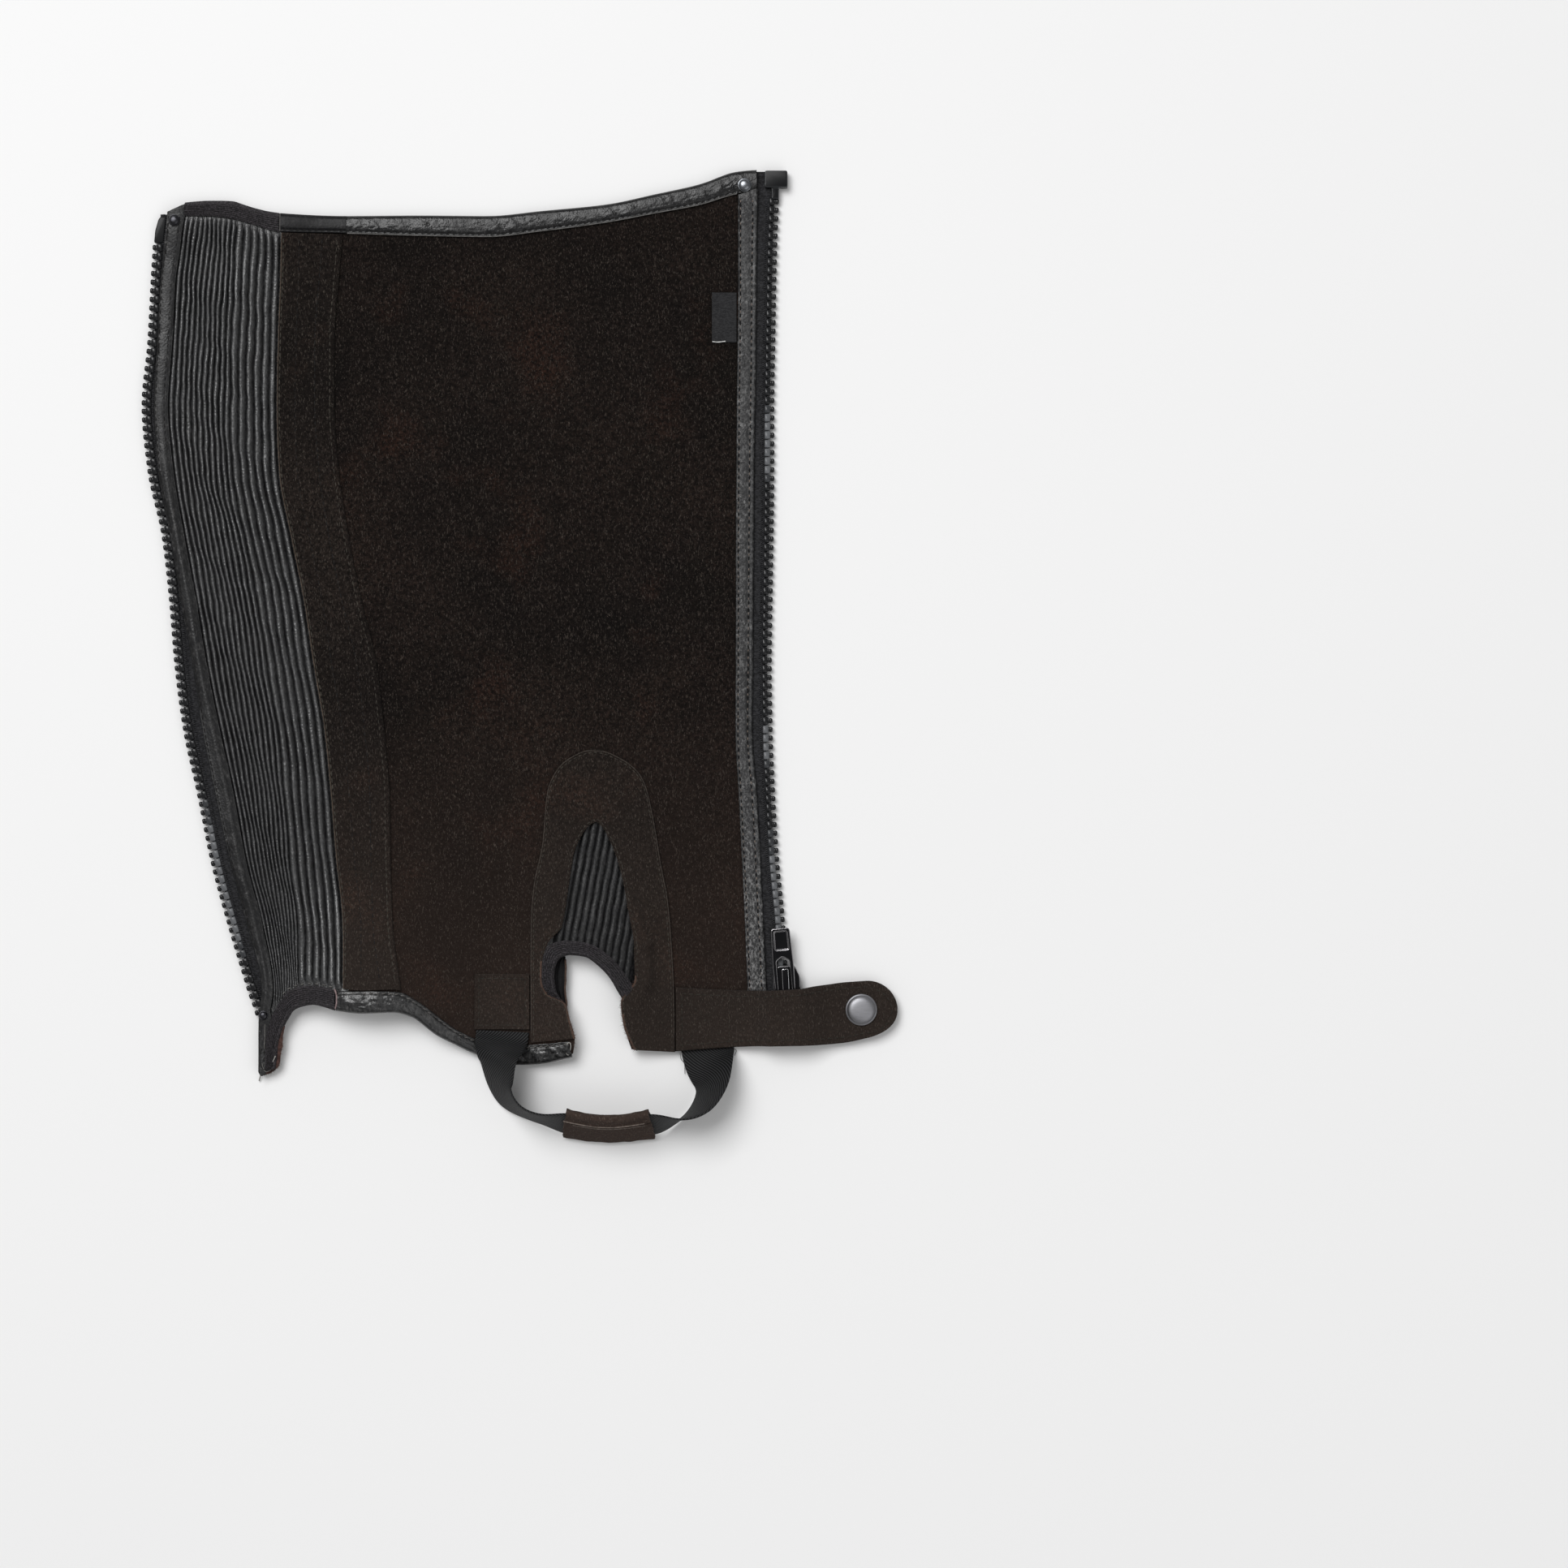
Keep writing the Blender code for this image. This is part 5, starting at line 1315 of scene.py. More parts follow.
def build_tape(half):
    """Woven tape with a thick cord along its edge and the ticks of its sewing beside it."""
    y, tip, rise, way = zip_path(half)
    y, tip, rise = y[::4], tip[::4], rise[::4]
    if half == "back":
        more = np.linspace(203.5, y[0] + 2.0, 8)
        tip, rise, y = (np.concatenate(pair) for pair in ((LINE["zip_left"](more), tip), (more * 0, rise),
                                                          (more, y)))
        joint, facing = back_outer(y) - 0.9, LINE["facing_left_out"](y)
    else:
        more = np.linspace(223.3, y[0] + 1.5, 12)
        tip, rise, y = (np.concatenate(pair) for pair in ((more * 0 + tip[0] + 0.2, tip),
                                                          (more * 0 + rise[0], rise), (more, y)))
        held = np.minimum(y, 211.0)
        joint, facing = front_joint(held) + 0.5, LINE["facing_right_out"](held)
        joint = joint + (facing - 0.9 - joint) * ramp((y - 212.0) / 3.0)
    edge = tip - (TEETH_REACH - 1.3) * way
    parts = np.array((0.0, 0.35, 0.6, 0.7, 0.78, 0.84, 0.89, 0.93, 0.965, 1.0))
    x = joint[:, None] + (edge - joint)[:, None] * parts
    from_edge = np.abs(edge[:, None] - x)
    share = ramp(1 - from_edge / np.maximum(np.abs(edge - facing)[:, None] - 0.4, 0.8))
    centre = (TAPE_LEVEL + TAPE_THICK / 2) * (1 - share) + (TEETH_THICK / 2 + rise[:, None]) * share
    thick = 0.32 + 0.60 * np.exp(-((from_edge - 1.5) / 1.0) ** 2)
    tape = wall(f"look_tape_{half}", x, np.repeat(y[:, None], len(parts), axis=1), centre - thick,
                centre + thick, [TAPE_LOOK], "zip_tape", replaces=[f"zip_tape_{half}"])
    path = np.column_stack([edge - way * 2.3, y])[(y < 211.0) & (y > -186.0)]
    spots, direction = resample(path, 0.95, 0.4)
    height = np.interp(-spots[:, 1], -y, TEETH_THICK / 2 + rise) + 0.95
    repeated(f"look_cord_{half}", pod(1.9, 0.62, 0.7, 4, 2), np.column_stack([spots, height]),
             level_frames(aside(turned(direction, 0.5 * way))), [CORD_LOOK], "zip_tape")


def lathe(name, profile, place, material, slot, node, steps):
    """A turned piece from a profile that starts and ends on its own axis."""
    turn = np.linspace(0, 2 * np.pi, steps, endpoint=False)
    points = [(0, 0, profile[0][1])]
    points += [(r * math.cos(t), r * math.sin(t), h) for r, h in profile[1:-1] for t in turn]
    points = np.array(points + [(0, 0, profile[-1][1])]) + place
    return piece(name, points, outward(points, poled_faces(len(profile) - 2, steps)), [material], slot,
                 replaces=[node], sharp=40)


# Profiles of the round parts, from the middle of the top to the middle of the base: radius and height
SNAP_CAP = ((0, 2.55), (1.2, 2.54), (2.4, 2.50), (3.6, 2.42), (4.6, 2.28), (5.4, 2.02), (6.0, 1.62),
            (6.35, 1.12), (6.6, 0.72), (6.9, 0.62), (7.15, 0.5), (7.3, 0.3), (7.2, 0.05), (6.9, 0.0),
            (0, 0.0))
RIVET_CAP = ((0, 1.0), (0.3, 0.97), (0.55, 0.87), (0.74, 0.66), (0.86, 0.4), (0.9, 0.25), (0.98, 0.2),
             (1.0, 0.08), (0.98, 0.0), (0, 0.0))


def build_round_parts():
    """The snap's cap and the three rivets."""
    top = STRAP[-1][3] + STRAP_THICK + 0.3
    lathe("look_snap_cap", SNAP_CAP, (*SNAP_AT, top), SNAP_LOOK, "snap_metal", "strap_snap_cap", 64)
    for spot in RIVETS:
        x, y, node = spot["x"], spot["y"], spot["name"]
        profile = [(r * spot["radius"], h * spot["height"]) for r, h in RIVET_CAP]
        look = RIVET_LOOK if node == "rivet_top_front" else RIVET_DARK
        lathe("look_" + node, profile, (x, y, float(facing_top(x, y)) + spot["clear"]), look, "black_metal",
              node, 32)


def strap_surface(x, y):
    """Outside of the strap: its own level past the wall, or over the wall."""
    x, y = np.broadcast_arrays(np.asarray(x, dtype=float), np.asarray(y, dtype=float))
    level = np.maximum(STRAP_LINE["under"](np.minimum(x, STRAP_END["x"])), OVER)
    return level + np.where(x < 100, ground(x, y), 0.0) + STRAP_THICK


def build_strap():
    """Ankle strap with its round end."""
    parts = spread(27.0, 1.45)
    rows = []
    for x in np.linspace(STRAP[0][0], STRAP_END["x"], 66):
        top, bottom = float(STRAP_LINE["upper_y"](x)), float(STRAP_LINE["lower_y"](x))
        rows.append((parts * 0 + x, top + (bottom - top) * parts))
    for turn in np.radians((6, 13, 21, 30, 40, 50, 59, 67, 74, 80, 84)):
        beyond = STRAP_END["reach"] * math.sin(turn)
        bow = beyond * (1 - math.sin(turn))
        reach = 13.25 * math.cos(turn) - 0.08 * bow
        rows.append((parts * 0 + STRAP_END["x"] + beyond, -163.95 + 0.15 * bow + reach * (1 - 2 * parts)))
    x, y = np.moveaxis(np.array(rows), 1, 0)
    edge = strap_edge(x, y)
    surface = strap_surface(x, y)
    high = surface + 0.05 * noise(x, y, 2.8, 44) - edge_drop(edge, 0.8) + groove(edge - 2.7, 0.5, 0.28)
    high = high - 0.35 * ramp((x - 98.4) / 0.8) + 0.14 * ramp((x - 99.8) / 0.8)
    strap = wall("look_strap", x, y, surface - STRAP_THICK, high, [TRIM_LOOK, TRIM_LOOK], "suede_trim",
                 replaces=["ankle_strap"])


def strap_edge(x, y):
    """Distance from a point of the strap to its edge."""
    flat = np.minimum(x, STRAP_END["x"])
    side = np.minimum(STRAP_LINE["upper_y"](flat) - y, y - STRAP_LINE["lower_y"](flat))
    beyond = np.maximum(x - STRAP_END["x"], 0) / STRAP_END["reach"]
    away = (y - STRAP_END["y"]) / STRAP_END["half"]
    tip = (1 - np.hypot(beyond, away)) * STRAP_END["half"]
    return np.maximum(np.minimum(np.where(x > STRAP_END["x"], tip, side), x - STRAP[0][0]), 0)


def flat_patch(name, left, right, top, bottom, thick, materials, slot, node):
    """A small piece sewn flat on the wall."""
    x, y = np.meshgrid(left + (right - left) * spread(right - left, 1.1),
                       top + (bottom - top) * spread(top - bottom, 1.1))
    low = ground(x, y) + OVER
    edge = np.minimum(np.minimum(x - left, right - x), np.minimum(top - y, y - bottom))
    high = low + thick - edge_drop(np.maximum(edge, 0), min(0.4, thick * 0.6))
    if thick > 1:
        high = high + groove(edge - 2.0, 0.5, 0.24) + 0.05 * noise(x, y, 2.6, 45)
    made = wall(name, x, y, low, high, materials, slot, replaces=[node])


def webbing_stations(count):
    """Centres along the stirrup, and the unit vectors of its width and thickness."""
    cuts = sections(WEBBING[:-1] + ((87.2, -184.2, 2.5, 180, 0), (87.0, -181.4, 1.5, 180, 0)), count)
    centres = cuts[:, :3]
    ahead = unit(np.gradient(centres, axis=0))
    outer = np.column_stack([-aside(unit(ahead[:, :2])), np.zeros(count)])
    tilt = np.radians(cuts[:, 3])[:, None]
    width = outer * np.cos(tilt) - np.array((0, 0, 1.0)) * np.sin(tilt)
    width = unit(width - ahead * np.sum(width * ahead, axis=1, keepdims=True))
    return centres, width, np.cross(ahead, width), np.clip(cuts[:, 4], 0, 1)


def running_mean(rings, reach):
    """Each ring averaged with its neighbours, both ends kept."""
    padded = np.concatenate([rings[:1]] * reach + [rings] + [rings[-1:]] * reach)
    total = sum(padded[k:k + len(rings)] for k in range(2 * reach + 1)) / (2 * reach + 1)
    blend = np.minimum(1.0, np.minimum(np.arange(len(rings)), np.arange(len(rings))[::-1]) / reach)
    return rings + (total - rings) * blend[:, None, None]


def build_webbing():
    """Woven stirrup, with its folds and its ribs along the cloth."""
    count = 190
    centres, width, depth, on_wall = webbing_stations(count)
    across = np.concatenate([[-1.0, -0.985], np.linspace(-0.94, 0.94, 21), [0.985, 1.0]])
    thick = np.sqrt(np.maximum(1 - np.abs(across) ** 14, 0.02)) * WEBBING_THICK / 2
    side = np.concatenate([across, across[::-1]]) * WEBBING_WIDTH / 2
    face = np.concatenate([thick, -thick[::-1]])
    along = run_of(centres)
    edge = (1 - 0.012 * (np.arange(count) % 2))[:, None, None]
    rings = centres[:, None] + width[:, None] * side[:, None] * edge + depth[:, None] * face[:, None]
    rings[..., 2] += on_wall[:, None] * bed(rings[..., 0], rings[..., 1])
    places = np.stack(np.broadcast_arrays(along[:, None], side), axis=-1).reshape(-1, 2)
    webbing = loft("look_webbing", running_mean(rings, 5), [WEBBING_LOOK], "webbing", uv=places,
                   replaces=["stirrup_webbing"], sharp=70)


def build_sleeve():
    """Suede wrapped round the webbing, closed by a seam with a narrow raised flange."""
    centres, width, depth, _ = webbing_stations(300)
    x, y = centres[:, 0], centres[:, 1]
    held = (x > SLEEVE_FROM_X + 0.3) & (x < SLEEVE_TO_X - 0.3) & (y < -210)
    centres, width, depth = centres[held][::2], width[held][::2], depth[held][::2]
    count, ring = len(centres), 80
    share = np.arange(count)[:, None] / (count - 1)
    outer_w, outer_d = WEBBING_WIDTH / 2 + 1.6, WEBBING_THICK / 2 + GAP + SLEEVE_WALL
    inner_w, inner_d = WEBBING_WIDTH / 2 + GAP, WEBBING_THICK / 2 + GAP
    side = np.concatenate([np.linspace(1, -1, 41)[:-1], np.linspace(-1, 1, 41)[:-1]])
    face = np.repeat((1.0, -1.0), 40)
    from_end = ramp(1 - share / 0.12) - ramp(1 - (1 - share) / 0.12)
    layers = []
    for half_w, half_d, outside in ((outer_w, outer_d, 1), (inner_w, inner_d, 0)):
        a, b = side * half_w, face * (1 - np.abs(side) ** 4.8) ** 0.21 * half_d
        rough = 0.18 * noise(a, np.arange(count)[:, None] * 0.5, 1.6, 71)
        lift = b + (rough + seam_flange(a, b)) * face * outside
        layer = centres[:, None] + width[:, None] * a[:, None] + depth[:, None] * lift[..., None]
        layer[..., 0] -= from_end * (0.09 * a + 0.45 * noise(a, 0.0, 2.2, 73))
        layer[..., 1] -= sleeve_bow(a / outer_w, share)
        layers.append(layer.reshape(-1, 3))
    points = np.concatenate(layers)
    shell, gap = ring_quads(count, ring), count * ring
    faces = shell.tolist() + (shell[:, ::-1] + gap).tolist()
    for first, flip in ((0, 1), ((count - 1) * ring, -1)):
        index = first + np.arange(ring)
        after = np.roll(index, -1)
        faces += np.stack([after, index, index + gap, after + gap], axis=-1)[:, ::flip].tolist()
    groups = np.arange(len(faces)) >= 2 * len(shell)
    sleeve = piece("look_sleeve", points, outward(points, faces), [SLEEVE_LOOK, RAW_LOOK], "suede_trim",
                   replaces=["stirrup_sleeve"], groups=groups, sharp=60)
    for n, (a, rise, first, last) in enumerate(((-8.6, 0.55, 0.01, 0.99), (-5.9, 0.25, 0.10, 0.94))):
        rows = slice(int(first * count), int(last * count), 4)
        line = centres[rows] + width[rows] * a - depth[rows] * (outer_d + rise)
        line[:, 1] -= sleeve_bow(a / outer_w, share[rows, 0])
        yarn(f"look_sleeve_lip_{n}", line, 0.34, SEAM_LOOK, "suede_trim", 60)


def sleeve_bow(across, share):
    """How far the sleeve's middle is pulled down, most at its upper edge."""
    return (1.3 + 0.45 * (1 - across)) * np.sin(np.pi * share) - 0.4 * (1 - across) / 2


def seam_flange(a, b):
    """The two lips of the sleeve's seam, with a groove between them, on its upper face."""
    line = (np.exp(-((np.abs(a) - 8.6) / 0.7) ** 2) * 0.8 + np.exp(-((np.abs(a) - 5.9) / 0.7) ** 2) * 0.5
            - np.exp(-((np.abs(a) - 7.2) / 0.6) ** 2) * 0.5)
    return np.where((b * SEAM_FACE > 0) & (a * SEAM_SIDE > 0), line, 0.0)


def seam_path(line, shift, y_from, y_to):
    """A path beside one of the seam lines."""
    y = np.arange(y_from, y_to, -2.0)
    return np.column_stack([LINE[line](y) + shift, y])


def build_stitches():
    """All the sewing that shows."""
    stitches("look_stitch_band", [seam_path("band_left", 1.1, 192.5, -151.0),
                                  seam_path("band_right", -2.1, 191.5, -152.0)],
             band_surface, -0.20, DULL_THREAD, "suede_trim")
    stitches("look_stitch_band_faint", [seam_path("band_left", 8.4, 192.0, -150.0),
                                        seam_path("band_right", -9.0, 192.0, -150.0)],
             band_surface, -0.14, DARK_THREAD, "suede_trim", width=0.5)
    cuts = sections(ARCH_PATCH, 240)
    outline, inner = cuts[:, 0:2], cuts[:, 2:4]
    toward = unit(inner - outline)
    stitches("look_stitch_patch", [outline + toward * 1.5, inner - toward * 1.2], patch_surface, -0.14,
             DULL_THREAD, "suede_trim", pitch=2.5, length=1.8, width=0.5)
    rim = (outline + toward * 0.45)[4:-4:4]
    yarn("look_patch_rim", laid(*rim.T, patch_surface, -0.12), 0.16, RIM_LOOK, "suede_trim", 240)
    front = [seam_path("facing_right_in", 1.2, 211.0, -177.0),
             seam_path("facing_right_out", -2.2, 211.0, -177.0)]
    stitches("look_stitch_facing_light", front, facing_top, -0.12, SEAM_LOOK, "leather", pitch=3.4,
             length=1.2, width=0.5)
    # Near-black marks between the pale stitches: painted shade of the needle holes
    stitches("look_stitch_facing_holes", [path - (0, 1.7) for path in front], facing_top, -0.16, HOLE_SHADE_LOOK,
             "leather", pitch=3.4, length=2.0, width=0.8)
    stitches("look_stitch_facing_dark", [seam_path("facing_left_out", 1.0, 203.0, -190.0),
                                         seam_path("facing_left_in", -1.3, 203.0, -190.0)],
             facing_top, -0.26, DARK_THREAD, "leather", length=2.4)
    x = np.linspace(-109.5, 103.0, 180)
    stitches("look_stitch_top", [np.column_stack([x, TOP["inner"](x) + 1.1])], binding_top, -0.26,
             DARK_THREAD, "leather", pitch=2.9, length=2.2, slant=0.30)
    cuts = sections(HEM_LEATHER, 90)
    stitches("look_stitch_hem", [cuts[:, 2:4] + unit(cuts[:, 0:2] - cuts[:, 2:4]) * 1.1], binding_top, -0.26,
             LIGHT_THREAD, "leather", pitch=2.9, length=2.2, width=0.5, slant=0.30)
    cuts = sections(HEM_ELASTIC, 80)[44:]
    stitches("look_stitch_ribs_hem", [cuts[:, 2:4] + unit(cuts[:, 2:4] - cuts[:, 0:2]) * 0.9], bed,
             RIB_VALLEY + 1.02, LIGHT_THREAD, "leather", pitch=3.4, length=1.9, width=0.55)
    turn = np.radians(np.linspace(90, -90, 40))[1:-1]
    inset = 2.7
    cap = np.column_stack([STRAP_END["x"] + (STRAP_END["reach"] - inset) * np.cos(turn),
                           STRAP_END["y"] + (STRAP_END["half"] - inset) * np.sin(turn)])
    x = np.linspace(74.8, 160.0, 80)
    upper, lower = (np.column_stack([x, STRAP_LINE[edge](x) + shift])
                    for edge, shift in (("upper_y", -inset), ("lower_y", inset)))
    square = [((97.0, -157.8), (97.0, -179.0)), ((75.2, -157.2), (75.2, -180.0)),
              ((76.4, -157.8), (95.8, -179.0)), ((76.4, -179.4), (95.8, -157.8))]
    stitches("look_stitch_strap", [np.concatenate([upper, cap, lower[::-1]])] + square, strap_surface, -0.12,
             DIM_THREAD, "suede_trim", width=0.5)
    tab = ((-18.6, -149.6), (2.9, -149.6), (2.9, -171.1), (-18.6, -171.1), (-18.6, -149.6))
    stitches("look_stitch_tab", [tab], over_hide, -0.10, DIM_THREAD, "suede_trim", width=0.5)


def scattered(rng, count, inside, box):
    """Random places on the wall that pass a test."""
    x0, x1, y0, y1 = box
    found = []
    while sum(len(f) for f in found) < count:
        spots = np.column_stack([rng.uniform(x0, x1, count), rng.uniform(y0, y1, count)])
        found.append(spots[inside(spots[:, 0], spots[:, 1])])
    return np.concatenate(found)[:count]


def on_suede(x, y):
    """Whether a place lies on the bare suede of the leg wall."""
    left, right = LINE["band_right"](y) + 1, LINE["facing_right_in"](y) - 1
    inside = (x > left) & (x < right) & (y < TOP["inner"](x) - 1.5) & (y > HEM["fold"](x) + 12)
    in_patch = (x > 4) & (x < 74) & (y < -42)
    return inside & ~in_patch


def build_nap():
    """Short hair ends that stand out of the suede and catch the light."""
    rng = np.random.default_rng(81)
    spots = scattered(rng, 9000, on_suede, (-85, 105, -175, 212))
    turn = rng.uniform(0, 2 * np.pi, len(spots))
    ways = unit(np.column_stack([np.cos(turn), np.sin(turn), rng.uniform(0.1, 0.5, len(spots))]))
    hairs("look_nap", laid(*spots.T, hide, -0.02), ways, rng.uniform(0.5, 1.5, len(spots)), 0.085, 0.25,
          HAIR_LOOK, "suede", 82)


def edge_fuzz(name, path, surface, out, count, lengths, width, material, slot, seed):
    """Loose fibres along a raw edge, leaning out over it."""
    rng = np.random.default_rng(seed)
    path = np.asarray(path, dtype=float)
    spots, way = line_at(path, np.sort(rng.uniform(0, run_of(path)[-1], count)), 0.6)
    outside = aside(way) * out
    mix = rng.normal(0, 0.75, count)[:, None]
    ways = unit(np.column_stack([outside + way * mix, rng.uniform(-0.15, 0.5, count)]))
    spots = spots - outside * rng.uniform(0.1, 0.7, count)[:, None]
    roots = laid(*spots.T, surface, -rng.uniform(0.1, 0.5, count))
    hairs(name, roots, ways, rng.uniform(*lengths, count), width, 0.3, material, slot, seed + 1)


def build_fuzz():
    """Fuzz of the raw edges."""
    window = sections(ARCH_PATCH, 240)[:, 2:4]
    slit_y = np.linspace(-158, -181, 30)
    slit = np.column_stack([SLIT["left"](slit_y), slit_y])
    trim = "suede_trim"
    for name, *rest in (
            ("band", seam_path("band_left", 0.0, 192.0, -151.0), band_surface, -1, 2600, (0.3, 0.9), 0.10,
             FUZZ_HAIR, trim, 91),
            ("window", window, patch_surface, -1, 1500, (0.3, 0.8), 0.09, FUZZ_HAIR, trim, 93),
            ("foot_left", window[:34], patch_surface, -1, 260, (0.4, 1.3), 0.12, RED_HAIR, trim, 95),
            ("foot_right", window[-30:], patch_surface, -1, 320, (0.5, 1.8), 0.12, RED_HAIR, trim, 97),
            ("slit_left", slit, hide, 1, 260, (0.4, 1.2), 0.12, RED_HAIR, "suede", 99)):
        edge_fuzz("look_fuzz_" + name, *rest)


def build_loose_threads():
    """The flap at the back tip is frayed, and a few ends of thread hang loose."""
    outer = sections(FLAP_HIDE, 40)[:, 0:2]

    def edge(x, y):
        return bed(x, y) + 1.9
    edge_fuzz("look_fuzz_flap_side", outer[8:27], edge, 1, 170, (0.4, 1.3), 0.12, RED_HAIR, "elastic", 101)
    edge_fuzz("look_fuzz_flap_tip", outer[26:], edge, 1, 150, (0.4, 1.5), 0.11, FUZZ_HAIR, "elastic", 103)
    yarn("look_frayed_0", ((-119.8, -192.2, 2.4), (-119.9, -194.4, 1.4), (-120.6, -197.2, 0.6)), 0.30,
         PALE_THREAD, "elastic")
    for n, (path, radius, look) in enumerate(FRAYED):
        yarn(f"look_frayed_{n + 1}", laid(*np.array(path).T, facing_top, 0.15), radius, look, "elastic")
    y = np.linspace(-165.5, -182.0, 8)
    yarn("look_flap_edge", laid(LINE["facing_left_in"](y) - 1.1, y, facing_top, 0.05), 0.22, LIGHT_THREAD,
         "leather", 40)
    for kind, radius, look, threads in LOOSE:
        for n, points in enumerate(threads):
            yarn(f"look_loose_{kind}_{n}", points, radius, look, "suede_trim")
    for n, (at, look) in enumerate(((-110.4, LIGHT_THREAD), (-79.9, DARK_THREAD))):
        inner, fold = float(TOP["inner"](at)) + 0.3, float(TOP["fold"](at)) - 0.6
        y = np.linspace(inner, fold, 6)
        line = laid(np.full(6, at), y, binding_top, 0.12 - 1.1 * (y > fold - 0.5))
        yarn(f"look_top_join_{n}", line, 0.20, look, "leather")
    turn = np.radians(np.linspace(200, 680, 40))
    grow = np.linspace(0.55, 1.0, len(turn))
    x, y = 23.1 + 1.35 * grow * np.cos(turn) + 0.30 * np.sin(turn), -181.4 + 3.3 * grow * np.sin(turn)
    yarn("look_rolled_end", laid(x, y, bed, OVER + FLAP + 0.15), 0.27, PALE_THREAD, "leather", 60)


def build_flap_hide():
    """Raw hide that shows past the elastic at the back tip."""
    cuts = sections(FLAP_HIDE, 40)[:, None, :]
    parts = np.linspace(0, 1, 7)
    x, y = np.moveaxis(cuts[..., 0:2] + (cuts[..., 2:4] - cuts[..., 0:2]) * parts[:, None], -1, 0)
    x = x + 0.22 * noise(y, x, 1.4, 98) * (1 - parts)
    low = bed(x, y) + 0.3
    high = low + 1.9 - 0.5 * (1 - parts) ** 3 + 0.12 * noise(x, y, 1.3, 99)
    hide_edge = wall("look_flap_hide", x, y, low, high, [HIDE_LOOK], "suede_trim")


def build_gusset_fold():
    """Inner side of the binding where it curls under beside the notch, painted dark as shade inside the curl,
    with the raw edge of the hide.
    """
    line = curves(GUSSET_CURL, ("y", "left", "right"), "y")
    y = np.linspace(GUSSET_CURL[0][0], GUSSET_CURL[-1][0], 38)
    parts = np.linspace(0, 1, 9)
    left, right = line["left"](y)[:, None], line["right"](y)[:, None] + 0.25 * noise(y, 0.0, 2.0, 97)[:, None]
    x = left + (right - left) * parts
    ys = np.repeat(y[:, None], len(parts), axis=1)
    low = bed(x, ys) * 0.5 + 0.3
    high = low + 1.3 + 0.25 * np.sin(2 * np.pi * parts * 3.0)
    fold = wall("look_gusset_fold", x, ys, low, high, [FOLD_SHADE_LOOK, RAW_LOOK], "elastic")
    rows = slice(2, None, 3)
    edge = np.column_stack([x[rows, -1] - 0.1, y[rows], high[rows, -1] + 0.05])
    yarn("look_fold_edge", edge, 0.42, RAW_LOOK, "suede_trim", 40)


def yarn(name, points, radius, material, slot, count=16):
    """A length of thread through a few points."""
    points = np.array(points)
    along, shares = np.linspace(0, 1, len(points)), np.linspace(0, 1, count)
    line = np.stack([curve_through(along, column)(shares) for column in points.T], axis=1)
    ahead = unit(np.gradient(line, axis=0))
    across = unit(np.cross(ahead, (0, 0, 1.0)))
    rise = np.cross(across, ahead)
    turn = np.radians(np.arange(0, 360, 60))[:, None]
    rings = line[:, None] + (across[:, None] * np.cos(turn) + rise[:, None] * np.sin(turn)) * radius
    loft(name, rings, [material], slot)


def finish_socket():
    """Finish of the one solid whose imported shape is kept."""
    for thing in bpy.data.objects:
        if thing.type == "MESH" and thing.name.split(".")[0] == "strap_snap_socket":
            thing.data.materials.clear()
            thing.data.materials.append(SNAP_LOOK)


def rounded_outline(points, radius, steps=5):
    """An outline with its corners cut round."""
    points = np.array(points, dtype=float)
    found = []
    for before, corner, after in zip(np.roll(points, 1, axis=0), points, np.roll(points, -1, axis=0)):
        start, end = corner + unit(before - corner) * radius, corner + unit(after - corner) * radius
        for t in np.linspace(0, 1, steps):
            found.append(start * (1 - t) ** 2 + corner * 2 * t * (1 - t) + end * t * t)
    return found


def plate(name, outline, low, high, turn, place):
    """A flat plate with an outline, turned and placed, not yet riding on anything."""
    spots = turned(np.array(outline), turn)
    points = np.concatenate([np.column_stack([spots, np.full(len(spots), z)]) for z in (low, high)]) + place
    mesh = bpy.data.meshes.new(name)
    mesh.from_pydata((points * MM).tolist(), [], outward(points, tube_faces(2, len(spots))))
    return linked(name, mesh)


def carved(name, base, cuts, joins, bevel, looks, body, node):
    """A hard piece: cut and joined with Booleans, its rims rounded in the last look, and made one mesh."""
    for operation, tools in (("UNION", joins), ("DIFFERENCE", cuts)):
        for tool in tools:
            change = base.modifiers.new(operation, "BOOLEAN")
            change.operation = operation
            change.solver = "EXACT"
            change.object = tool
    edge = base.modifiers.new("Rims", "BEVEL")
    edge.width = bevel * MM
    edge.segments = 3
    edge.limit_method = "ANGLE"
    edge.angle_limit = math.radians(50)
    edge.material = len(looks) - 1
    for look in looks:
        base.data.materials.append(look)
    bpy.context.view_layer.update()
    mesh = bpy.data.meshes.new_from_object(base.evaluated_get(bpy.context.evaluated_depsgraph_get()))
    mesh.name = name
    for tool in (base, *cuts, *joins):
        bpy.data.objects.remove(tool, do_unlink=True)
    mesh.shade_smooth()
    mesh.set_sharp_from_angle(angle=math.radians(35))
    dressed(linked(name, mesh), body, [node])


def box_outline(x0, x1, y0, y1):
    """Corners of a rectangle."""
    return [(x0, y0), (x1, y0), (x1, y1), (x0, y1)]


